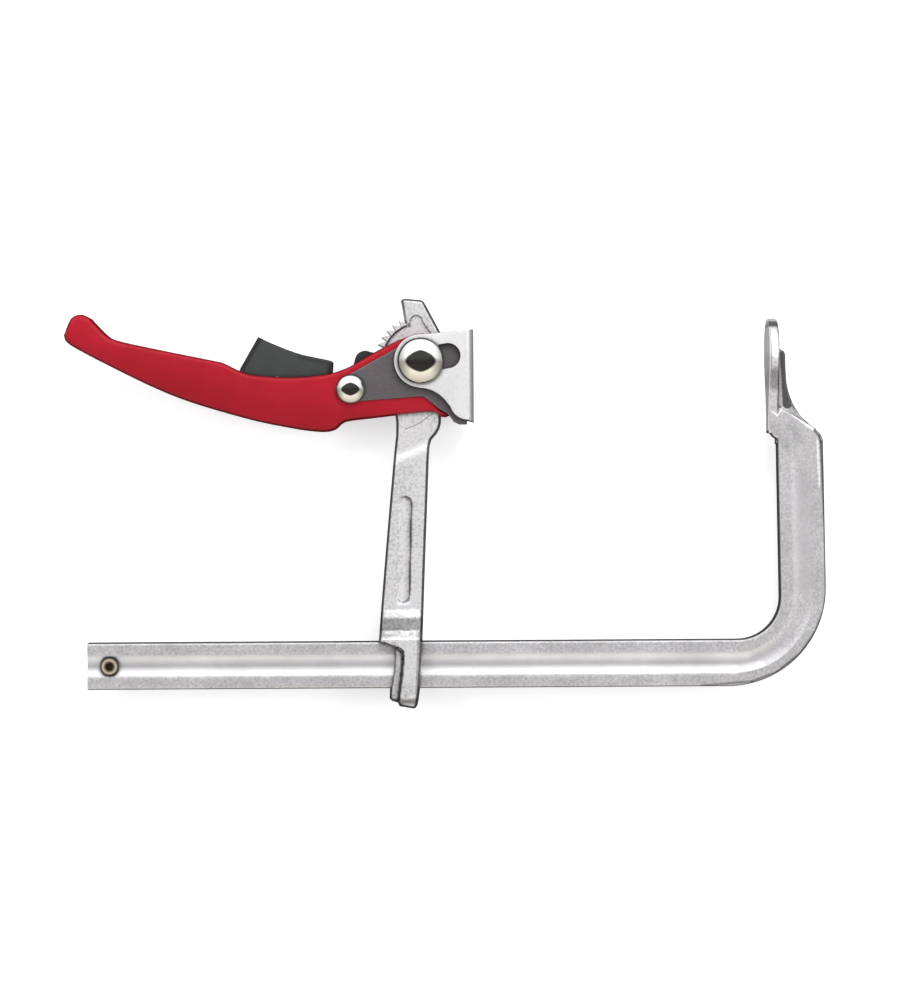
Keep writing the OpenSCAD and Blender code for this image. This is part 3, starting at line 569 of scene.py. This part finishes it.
# half thickness up the arm: foot, cheek, the eye's lip with its valley, shank
SIDE_STEPS = [(-157.2, 8.4), (-151.5, 10.6), (-124.6, 10.8), (-120.4, 7.2), (-115.2, 7.9), (-111.2, 5.65),
              (-108.5, 5.6), (0, 5.6)]
HEAD_FROM, SHANK_MORE = -50, 0.45
BLEND_LOW, BLEND_HIGH = Vector((-12, -43.0)), Vector((4.2, -37.2))
POCKET_TOP, POCKET_LOW, POCKET_R, POCKET_DEEP = Vector((-7.5, -63.4)), Vector((-8.6, -105.1)), 3.3, 1.8
FINGER = points((-2.0, 10), (-1.8, 17.8), (4.6, 8.4))
WEB_DEEP = 0.9
SEAM = points((-7.6, -30.8), (-0.5, -27.6), (5.2, -23.4))
SEAM_DEEP = 0.2


def ease(low, high, value):
    """0 below low, 1 above high, and a smooth step between them."""
    t = min(1.0, max(0.0, (value - low) / (high - low)))
    return t * t * (3 - 2 * t)


def steps_of(steps, value):
    """Height read off a list of (place, height) steps."""
    for (a, ha), (b, hb) in zip(steps, steps[1:]):
        if value <= b:
            return ha + (hb - ha) * 0.5 * (ease(a, b, value) + max(0, value - a) / (b - a))
    return steps[-1][1]


def off_line(point, a, b):
    """Distance of a point from the stretch a to b."""
    along = b - a
    t = min(1.0, max(0.0, (point - a).dot(along) / along.length_squared))
    return (point - a - along * t).length


def arm_height(place):
    """Half thickness of the forging at a point of its side."""
    p = place - AXLE
    if p.y > HEAD_FROM:
        lean = BLEND_HIGH - BLEND_LOW
        up = (p - BLEND_LOW).dot(Vector((-lean.y, lean.x)).normalized())
        height = HALF_BAR + SHANK_MORE * (1 - ease(-1.6, 0.6, up))
    else:
        height = steps_of(SIDE_STEPS, p.y + 0.4 * noise.noise((p.x * 0.45, p.y * 0.3, 1.7)))
    if p.y < CHEEK_SIDE[0][1]:
        side = CHEEK_SIDE[-1][0]
        for (x0, y0), (x1, y1) in zip(CHEEK_SIDE, CHEEK_SIDE[1:]):
            if y1 <= p.y <= y0:
                side = x0 + (x1 - x0) * (y0 - p.y) / (y0 - y1)
        flange = CHEEK_HALF - FLANGE_DROP * ease(*FLANGE_TAPER, p.y)
        height = flange + (height - CHEEK_HALF) * ease(-0.7, 0.5, p.x - side)
    # the pocket, deepest along its right side
    fall = (p.y - POCKET_TOP.y) / (POCKET_LOW.y - POCKET_TOP.y)
    right = p.x - (POCKET_TOP.x + (POCKET_LOW.x - POCKET_TOP.x) * fall)
    ramp = 0.3 + 0.7 * ease(-POCKET_R, POCKET_R * 0.6, right)
    height -= POCKET_DEEP * ramp * ease(0.1, -0.9, off_line(p, POCKET_TOP, POCKET_LOW) - POCKET_R)
    # the web inside the toothed rim, with the finger-shaped hollow in the head
    r, angle = p.length, math.degrees(math.atan2(p.y, p.x)) % 360
    web = ease(RIM_R + 0.25, RIM_R - 0.25, r) * ease(88, 96, angle) * ease(212, 204, angle)
    finger, palm = off_line(p, FINGER[0], FINGER[1]), off_line(p, FINGER[1], FINGER[2])
    web = max(web, ease(3.1, 2.5, finger), ease(2.6, 2.0, palm))
    height -= WEB_DEEP * web * ease(10.2, 10.5, r)
    seam = min(off_line(p, SEAM[0], SEAM[1]), off_line(p, SEAM[1], SEAM[2]))
    uneven = 0.10 * noise.noise((p.x * 0.22, p.y * 0.22, 3.1))
    uneven += 0.035 * noise.noise((p.x * 0.8, p.y * 0.8, 7.7))
    return height - SEAM_DEEP * ease(0.5, 0.1, seam) + uneven - 0.05


def net(work, ring, height_of, step, flip):
    """Fills a ring of the mesh with a net of triangles that follows height_of."""
    flat = [v.co.to_2d() / MM for v in ring]
    low = Vector((min(p.x for p in flat), min(p.y for p in flat)))
    high = max(p.y for p in flat)
    inner = []
    for r in range(int((high - low.y) / step)):
        y = low.y + (r + 0.5) * step
        hits = []
        for i, p in enumerate(flat):
            q = flat[i - 1]
            if (p.y > y) != (q.y > y):
                hits.append(p.x + (y - p.y) / (q.y - p.y) * (q.x - p.x))
        hits.sort()
        for a, b in zip(hits[::2], hits[1::2]):
            x = low.x + (math.ceil((a + step * 0.4 - low.x) / step)) * step
            while x < b - step * 0.4:
                inner.append(Vector((x, y)))
                x += step
    count = len(flat)
    found = delaunay_2d_cdt(flat + inner, [(i, (i + 1) % count) for i in range(count)], [], 1, 1e-6)
    verts = []
    for p, origin in zip(found[0], found[3]):
        known = [i for i in origin if i < count]
        place = (p.x * MM, p.y * MM, height_of(p) * flip * MM)
        verts.append(ring[known[0]] if known else work.verts.new(place))
    for face in found[2]:
        corners = [verts[i] for i in face]
        if len(set(corners)) == 3:
            work.faces.new(corners)


def forging(outline, spacing, height_of, edge, step):
    """A forging between two skins: drafted and rounded at its outline, its sides as height_of says."""
    rim = []
    for a, b in zip(outline, outline[1:] + outline[:1]):
        parts = max(1, round((b - a).length / spacing))
        rim += [a + (b - a) * i / parts for i in range(parts)]
    work = bmesh.new()
    middle = [work.verts.new((*(p * MM), 0)) for p in rim]
    for flip in (1, -1):
        last = middle
        for amount, drop in edge:
            ring = [work.verts.new((*(p * MM), (height_of(p) - drop) * flip * MM))
                    for p in inset(rim, amount)]
            skin(work, (last, ring))
            last = ring
        net(work, last, height_of, step, flip)
    return work


ARM_ROUNDING = [(0.15, 4.4), (0.75, 0.95), (0.95, 0.45), (1.25, 0.14), (1.6, 0.0)]
work = forging(arm_edge, 1.2, arm_height, ARM_ROUNDING, 0.5)
rail_room = bmesh.new()
bmesh.ops.create_cube(rail_room, size=1)
for v in rail_room.verts:
    y = (EYE_LOW + EYE_HIGH) / 2 + v.co.y * (EYE_HIGH - EYE_LOW)
    v.co = Vector((AXLE.x + v.co.x * 80, y, v.co.z * 2 * EYE_HALF)) * MM
work = cut(work, "eye", rail_room, drill(AXLE, AXLE_HOLE_R, -THROUGH, THROUGH))
put_piece(work, "forged_arm", arm_finish, "sliding_arm", 24)

# the ratchet teeth: one wedge, steep on its lower side, set nine times round the axle
ROOT_IN = ROOT_R - 0.4
WEDGE = ((ROOT_IN, -9.2), (ROOT_R, -9.2), (TIP_R, -0.4), (TIP_R, 0), (ROOT_R, 0.8), (ROOT_IN, 0.8))
wedge = [Vector((r * math.cos(math.radians(a)), r * math.sin(math.radians(a)))) for r, a in WEDGE]
work = slab(wedge, [(-HALF_BAR, 0.25), (-5.0, 0), (5.0, 0), (HALF_BAR, 0.25)])
tooth_mesh = bpy.data.meshes.new("tooth")
bmesh.ops.recalc_face_normals(work, faces=work.faces)
work.to_mesh(tooth_mesh)
work.free()
teeth = bpy.data.objects.new("ratchet_teeth", tooth_mesh)
scene.collection.objects.link(teeth)


def new_tree(name, *sizes):
    """A geometry tree with named number inputs: (name, kind, default)."""
    tree = bpy.data.node_groups.new(name, "GeometryNodeTree")
    tree.interface.new_socket("Geometry", in_out="OUTPUT", socket_type="NodeSocketGeometry")
    tree.interface.new_socket("Geometry", in_out="INPUT", socket_type="NodeSocketGeometry")
    for label, kind, value in sizes:
        socket = tree.interface.new_socket(label, in_out="INPUT", socket_type="NodeSocket" + kind)
        socket.default_value = value
    return tree, tree.nodes.new("NodeGroupInput").outputs


def close_tree(tree, shape, finish):
    """Ends a tree: what it made becomes real and takes its finish."""
    real = add_node(tree, "GeometryNodeRealizeInstances", {0: shape})
    coat = add_node(tree, "GeometryNodeSetMaterial", {"Geometry": real.outputs[0], "Material": finish})
    add_node(tree, "NodeGroupOutput", {0: coat.outputs[0]})


def grow(piece, tree, sizes):
    """Runs a tree on a piece with the given sizes and leaves the plain mesh."""
    step = piece.modifiers.new("grow", "NODES")
    step.node_group = tree
    for item in tree.interface.items_tree:
        if item.in_out == "INPUT" and item.name in sizes:
            step[item.identifier] = sizes[item.name]
    graph = bpy.context.evaluated_depsgraph_get()
    mesh = bpy.data.meshes.new_from_object(piece.evaluated_get(graph))
    piece.modifiers.clear()
    piece.data = mesh


tree, given = new_tree("teeth_round_axle", ("Teeth", "Int", 9), ("First", "Float", 2.0),
                       ("Pitch", "Float", 0.17))
row = add_node(tree, "GeometryNodeMeshLine", {"Count": given["Teeth"], "Offset": (0, 0, 0)})
index = add_node(tree, "GeometryNodeInputIndex").outputs[0]
turn = maths(tree, "MULTIPLY_ADD", index, given["Pitch"], given["First"])
spin = add_node(tree, "ShaderNodeCombineXYZ", {"Z": turn})
as_turn = add_node(tree, "FunctionNodeEulerToRotation", {0: spin.outputs[0]})
placed = add_node(tree, "GeometryNodeInstanceOnPoints",
                  {"Points": row.outputs[0], "Instance": given["Geometry"], "Rotation": as_turn.outputs[0]})
close_tree(tree, placed.outputs[0], arm_finish)
grow(teeth, tree, {"Teeth": TEETH, "First": math.radians(FIRST_TOOTH), "Pitch": math.radians(TOOTH_PITCH)})
teeth.data.transform(Matrix.Translation((*(AXLE * MM), 0)))
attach(teeth, "arm")

# The washers between arm, lever plates and ears, and round the pawl. Bronze inside and plain steel
# outside, each a stamped ring that is loose on its rivet.
bronze_finish = metal_skin("bronze_washer", (0.52, 0.36, 0.18), 0.40, 1500.0, 0.10)
washer_finish = metal_skin("plain_washer", (0.42, 0.42, 0.43), 0.40, 1500.0, 0.10)
for side in ("front", "rear"):
    repaint("thrust_washer_" + side, bronze_finish)
    repaint("ear_washer_" + side, washer_finish)
    repaint("pawl_washer_" + side, washer_finish)

# The handle. A glossy red moulding with two walls that straddle the arm, open on top for the button
# and bored for the axle and the pawl pin.
RED = (0.425, 0.009, 0.022)
PIN = AXLE + Vector((-31.5, -12.3))
PIN_HOLE_R = 3.05
WALL_OUT, WALL_IN = 7.25, 5.75
GRIP_HALF, CROWN = 9.0, 1.1
GRIP_TOP = [(-9.2, 10.0), (-18.1, 5.6), (-26.2, 1.1), (-33.2, -2.8), (-42.8, -5.6), (-58.4, -6.8),
            (-74.1, -5.8), (-80.7, -4), (-88.4, -0.3), (-94.2, 1.1), (-121, 6.7), (-136, 10.2),
            (-141.1, 12.9), (-146.3, 18.2), (-148.8, 20.7), (-152.6, 21.9), (-156.8, 19.9), (-159.9, 12.6)]
GRIP_LOW = [(-159.9, 12.6), (-159.2, 10.2), (-157.5, 8.6), (-155.2, 7.1), (-143.4, 0.7), (-121.1, -10.4),
            (-103.2, -17.7), (-76.5, -25.6), (-58.6, -29.4), (-49.6, -30.8), (-43, -31.2), (-38.7, -30.2),
            (-35.3, -27.4), (-31.7, -26.3), (-22.8, -25.3), (-9.4, -23.8), (5, -22.7), (8, -24.2),
            (10.2, -24.9), (11.6, -24.7), (13, -24.1)]
GRIP_ROUNDING = [(0.0, 2.3), (0.1, 1.5), (0.35, 0.85), (0.75, 0.38), (1.3, 0.1), (1.9, 0)]

# painted shade: the red darkens a little towards the lower edge, which falls to the left, and on its flanks
red_finish, tree, shader, where = new_finish("red_moulding")
tone = ranged(tree, speckle(tree, where, 60.0, 3.0), CLOUD_SPAN, (0.90, 1.08))
FALL, BOW_AT, LOWER_SHADE_FROM, LOWER_SHADE_TO = 0.21, 50.6 * MM, -22 * MM, 3 * MM
place = add_node(tree, "ShaderNodeSeparateXYZ", {0: where}).outputs
bow = maths(tree, "MULTIPLY_ADD", place["X"], FALL, BOW_AT)
lower_shade = ranged(tree, maths(tree, "ADD", place["Y"], bow), (LOWER_SHADE_FROM, LOWER_SHADE_TO), (0.79, 1.0))
for factor in (lower_shade, painted_flanks(tree, 0.45, 0.3, 0.8)):
    tone = maths(tree, "MULTIPLY", tone, factor)
peel = speckle(tree, where, 420.0, 2.0)
bump = add_node(tree, "ShaderNodeBump", {"Height": peel, "Strength": 0.12, "Distance": 0.1 * MM})
tree.links.new(scaled(tree, RED, tone), shader.inputs["Base Color"])
tree.links.new(bump.outputs[0], shader.inputs["Normal"])
shader.inputs["Roughness"].default_value = 0.36
shader.inputs["Specular IOR Level"].default_value = 0.25


def soft_curve(pairs, steps=6):
    """A soft curve through the points."""
    curve = []
    for i in range(len(pairs) - 1):
        a, b, c, d = (Vector(pairs[max(0, min(len(pairs) - 1, k))]) for k in (i - 1, i, i + 1, i + 2))
        for j in range(steps):
            t = j / steps
            curve.append(0.5 * (2 * b + (c - a) * t + (2 * a - 5 * b + 4 * c - d) * t * t
                                + (3 * b - a - 3 * c + d) * t ** 3))
    return curve + [Vector(pairs[-1])]


grip_edge = arc((0, 0), 11.9, -40, 70, 22) + arc((0, 0), 12.4, 84, 112, 8)
grip_edge += soft_curve(GRIP_TOP)[1:] + soft_curve(GRIP_LOW)[1:]
grip_edge += points((11.7, -23.3), (8.6, -21.5), (7, -19))
grip_edge = points(*grip_edge, at=AXLE)
top_line, low_line = points(*GRIP_TOP, at=AXLE), points(*GRIP_LOW, at=AXLE)


def grip_height(p):
    """Half thickness of the handle: crowned across, so that it lies well in the hand."""
    up, down = (min(off_line(p, a, b) for a, b in zip(line, line[1:])) for line in (top_line, low_line))
    across = (down - up) / max(down + up, 0.1)
    return GRIP_HALF - CROWN * abs(across) ** 1.6


def lever_outline(grow):
    """Where a lever plate lies against the handle: round the pin and the axle, and the cam's blade."""
    reach, slope, sweep, steps = 20.9, 6.2, 88, 22
    cam = []
    for i in range(steps + 1):
        a = math.radians(sweep * i / steps)
        h = reach - slope * a
        cam.append((h * math.cos(a) + slope * math.sin(a), h * math.sin(a) - slope * math.cos(a) + grow))
    blade = [(x - grow, y - grow) for x, y in (
        (0.6, -15.7), (1.9, -16.4), (8.6, -21.6), (11.7, -23.4), (13.1, -24.6), (14.7, -26.9))]
    tip = [(17.2, -28.1 - grow), (20.6, -28.1 - grow)]
    boss, back = arc((0, 0), 10.3 + grow, 84, 118.8, 8), arc(PIN - AXLE, 5.9 + grow, 118.8, 260, 20)
    return points(*cam, *boss, *back, *blade, *tip, at=AXLE)


def block(outline, low, high):
    """The tool for a recess of one outline between two heights."""
    return slab(outline, [(low, 0), (high, 0)])


BED_GAP, BED_DEEP, BORE_REACH = 0.15, 4, 12
work = forging(grip_edge, 1.5, grip_height, GRIP_ROUNDING, 1.1)
pocket = points((-88, 30), (-84.5, -7), (-84.5, -13), (-50, -25), (-36, -22), (-30, -40),
                (60, -40), (60, 40), (-60, 40), at=AXLE)
ear_room = points((-10, 9.5), (-3, 14), (30, 14), (30, -22), (8, -20.5), (0, 0), at=AXLE)
tools = [block(pocket, -WALL_IN, WALL_IN)]
for low in (WALL_OUT, -WALL_OUT - BED_DEEP):
    tools += [block(lever_outline(BED_GAP), low, low + BED_DEEP), block(ear_room, low, low + BED_DEEP)]
RIVET_HOLES = ((AXLE, AXLE_HOLE_R), (PIN, PIN_HOLE_R))
tools += [drill(place, radius, -BORE_REACH, BORE_REACH) for place, radius in RIVET_HOLES]
put_piece(cut(work, "grip", *tools), "red_handle", red_finish, "handle", 24)

# The lever plates. Dark phosphated stampings on both sides of the handle, with the cam that pushes
# the pressure plate.
PLATE_LEVELS = [(WALL_OUT, 0.15), (WALL_OUT + 0.15, 0), (9.25, 0), (9.55, 0.1), (9.7, 0.25), (9.75, 0.45)]
# a painted highlight along the plates' edges, where their flanks are lit up
plate_finish = metal_skin("dark_phosphate", (0.165, 0.152, 0.158), 0.42, 700.0, 0.10, metal=0.4,
                          flank=(1.7, 0.5, 0.95))
for side, flip in (("front", 1), ("rear", -1)):
    work = slab(lever_outline(0), PLATE_LEVELS, lambda x, y, z: (x, y, z * flip))
    holes = [drill(place, radius, -BORE_REACH, BORE_REACH) for place, radius in RIVET_HOLES]
    put_piece(cut(work, "bores", *holes), "cam_plate_" + side, plate_finish, "lever_plate_" + side, 40)

# The pawl. Blackened steel, with the tooth that drops into the ratchet and a tail for the button,
# which a bright cross pin holds.
pawl_finish = metal_skin("blackened_steel", (0.075, 0.075, 0.08), 0.42, 900.0, 0.10, metal=0.6)
repaint("pawl", pawl_finish)
pin_finish = metal_skin("bright_pin_steel", (0.55, 0.55, 0.56), 0.3, 1500.0, 0.06)
repaint("button_pin", pin_finish)

# The pawl spring. Coiled from bright spring wire with closed ends, it stands in the handle's floor
# under the button's front end and gives way as the button is pressed.
BASE, HEIGHT, COIL_R, WIRE_R, COILS = AXLE + Vector((-66, -20.5)), 11.3, 2.8, 0.4, 6
END_GAP, HELD = 0.2, 1.5
CLOSED_RISE = 2.1 * WIRE_R * COILS
OPEN_RISE = HEIGHT - 2 * (WIRE_R + END_GAP) - CLOSED_RISE
tree, given = new_tree("closed_coil", ("Coils", "Float", 6.0), ("Radius", "Float", 0.003),
                       ("Wire", "Float", 0.0004), ("Closed rise", "Float", 0.005),
                       ("Open rise", "Float", 0.005))
turns = add_node(tree, "GeometryNodeCurveSpiral",
                 {"Rotations": given["Coils"], "Start Radius": given["Radius"], "End Radius": given["Radius"],
                  "Height": given["Closed rise"], "Resolution": 40})
along = add_node(tree, "GeometryNodeSplineParameter").outputs["Factor"]
opening = ranged(tree, along, (1 / COILS, 1 - 1 / COILS), (0.0, given["Open rise"]))
lift = add_node(tree, "ShaderNodeCombineXYZ", {"Z": opening})
spread = add_node(tree, "GeometryNodeSetPosition", {"Geometry": turns.outputs[0], "Offset": lift.outputs[0]})
wire = add_node(tree, "GeometryNodeCurvePrimitiveCircle", {"Radius": given["Wire"], "Resolution": 12})
drawn = add_node(tree, "GeometryNodeCurveToMesh",
                 {"Curve": spread.outputs[0], "Profile Curve": wire.outputs[0], "Fill Caps": True})
close_tree(tree, drawn.outputs[0], pin_finish)
spring = bpy.data.objects.new("coil_spring", bpy.data.meshes.new("coil_spring"))
scene.collection.objects.link(spring)
grow(spring, tree, {"Coils": float(COILS), "Radius": COIL_R * MM, "Wire": WIRE_R * MM,
                    "Closed rise": CLOSED_RISE * MM, "Open rise": OPEN_RISE * MM})
work = bmesh.new()
work.from_mesh(spring.data)
for v in work.verts:
    v.co = (BASE.x * MM + v.co.x, (BASE.y + WIRE_R + END_GAP) * MM + v.co.z, -v.co.y)
bmesh.ops.recalc_face_normals(work, faces=work.faces)
work.to_mesh(spring.data)
work.free()
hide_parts("pawl_spring")
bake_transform(spring)

# The release button. A matt black moulded cap with a thumb rest, pushed on the pawl's tail; the
# cross pin goes through both.
THUMB_REST = [(-72.9, 11.5), (-65.5, 8), (-54.3, 3.7), (-41, 0.7), (-39.4, -0.6)]
CAP_ROUNDING = [(5.2, 0.8), (5.1, 0.4), (4.8, 0.12), (4.4, 0)]
CROSS_PIN, CROSS_PIN_R, TAIL_HALF = PIN + Vector((-33, 5)), 1.3, 2.1
# painted shade on the cap's flanks and along its left and right ends
black_finish = metal_skin(
    "black_cap", (0.050, 0.053, 0.053), 0.48, 1800.0, 0.14, metal=0.0, flank=(0.2, 0.5, 0.8),
    marks=[(-235.5, -1.7, -227.8, 11.5, 0.9, 0.7, 0.35), (-196.3, 0.3, -196.6, -4.2, 1.2, 0.9, 0.4),
           (-210, 3.3, -198.4, 0.5, 0.7, 0.8, 0.6)])
cap_edge = points((-82, -8), (-81.1, -2.9)) + soft_curve(THUMB_REST) + points((-39.6, -3), (-40, -8.5))
cap_edge = points(*reversed(cap_edge), at=AXLE)
work = slab(cap_edge, [(-z, i) for z, i in CAP_ROUNDING] + CAP_ROUNDING[::-1])
tail_room = block(points((0, 3.2), (-40.3, 8.7), (-40.3, 4.8), (0, -3.2), at=PIN), -TAIL_HALF, TAIL_HALF)
pin_hole = drill(CROSS_PIN, CROSS_PIN_R, -THROUGH, THROUGH, 24)
put_piece(cut(work, "tail_room", tail_room, pin_hole), "thumb_button", black_finish, "release_button", 28)

# The rivets. Nickel-plated axle and pawl pin, with polished domed heads on both sides; the axle is
# turned, its heads standing on the ears of the pressure plate.
nickel_finish = metal_skin("polished_nickel", (0.90, 0.885, 0.85), 0.06, 300.0, 0.02, metal=1.0)
repaint("pawl_pin", nickel_finish)
SHAFT_R, HEAD_R, DOME_R, BALL_R = 5.5, 10.4, 9.9, 14.4
SEAT, HEAD_TOP, RIM_HIGH, BREAK = 12.9, 18.7, 4.9, 0.2
ROUND, DOME_STEPS, PEAK = 96, 25, 24.4
half = [(SHAFT_R, 0), (SHAFT_R, SEAT), (HEAD_R - BREAK, SEAT), (HEAD_R, SEAT + BREAK),
        (HEAD_R, HEAD_TOP - RIM_HIGH)]
for i in range(DOME_STEPS):
    a = math.asin(DOME_R / BALL_R) * (1 - i / PEAK)
    half.append((BALL_R * math.sin(a), HEAD_TOP - BALL_R + BALL_R * math.cos(a)))
work = bmesh.new()
rings = []
for r, z in [(r, -z) for r, z in half[:0:-1]] + half:
    ring = arc(AXLE, r, 0, 360 - 360 / ROUND, ROUND - 1)
    rings.append([work.verts.new((*(p * MM), z * MM)) for p in ring])
skin(work, rings)
for ring in (rings[0], rings[-1]):
    work.faces.new(ring)
put_piece(work, "domed_axle", nickel_finish, "lever_axle", 35)

# The pressure plate. One folded sheet: two ears with curved slots on the axle, and the flat front
# that presses on the work; brightly plated, with marks from brushing.
EAR_R, EAR_IN, EAR_OUT = 11.9, 10.25, 12.75
PANEL_IN, PANEL_OUT = 21.15, 23.65
FOLD_OUT_R, FOLD_IN_R, BEYOND = 3.0, 0.5, 40
SLOT_R, SLOT_LEAN, SLOT_ENDS = 5.65, 10.3, ((12.4, -90), (-1.5, 90))
# painted shade on the sheet's flanks and edges
sheet_finish = metal_skin("plated_sheet", (0.95, 0.945, 0.955), 0.36, 1900.0, 0.12,
                          streak=(1.0, 0.3, 1.0), metal=0.3, flank=(0.36, 0.86, 0.98))
swell, foot = arc((-1, -27.5), 15.4, 88, 36, 20), arc((PANEL_IN, -18.1), 8.4, 197, 270, 12)
ear_edge = arc((0, 0), EAR_R, 84, 262, 60) + swell + foot
ear_edge += points((PANEL_OUT, -27.3), (PANEL_OUT, 14), (PANEL_IN, 13.7))
soft = [(EAR_OUT, 0.35), (EAR_OUT - 0.1, 0.12), (EAR_OUT - 0.35, 0)]
ears = slab(points(*ear_edge, at=AXLE), [(-z, i) for z, i in soft] + soft[::-1])
out_x, out_z = PANEL_OUT - FOLD_OUT_R, EAR_OUT - FOLD_OUT_R
in_x, in_z = PANEL_IN - FOLD_IN_R, EAR_IN - FOLD_IN_R
fold = points((-BEYOND, -EAR_OUT)) + arc((out_x, -out_z), FOLD_OUT_R, -90, 0, 12)
fold += arc((out_x, out_z), FOLD_OUT_R, 0, 90, 12) + points((-BEYOND, EAR_OUT), (-BEYOND, EAR_IN))
fold += arc((in_x, in_z), FOLD_IN_R, 90, 0, 4) + arc((in_x, -in_z), FOLD_IN_R, 0, -90, 4)
fold += points((-BEYOND, -EAR_IN))
fold = slab(fold, [(-BEYOND, 0), (BEYOND, 0)], lambda x, y, z: (AXLE.x + x, z, y))
work = cut(ears, "fold", fold, operation="INTERSECT")
slot = []
for run, start in SLOT_ENDS:
    centre = AXLE + run * Vector((math.cos(math.radians(SLOT_LEAN)), math.sin(math.radians(SLOT_LEAN))))
    slot += arc(centre, SLOT_R, start + SLOT_LEAN, start + 180 + SLOT_LEAN, 24)
put_piece(cut(work, "slot", block(slot, -16, 16)), "folded_plate", sheet_finish, "pressure_plate", 30)
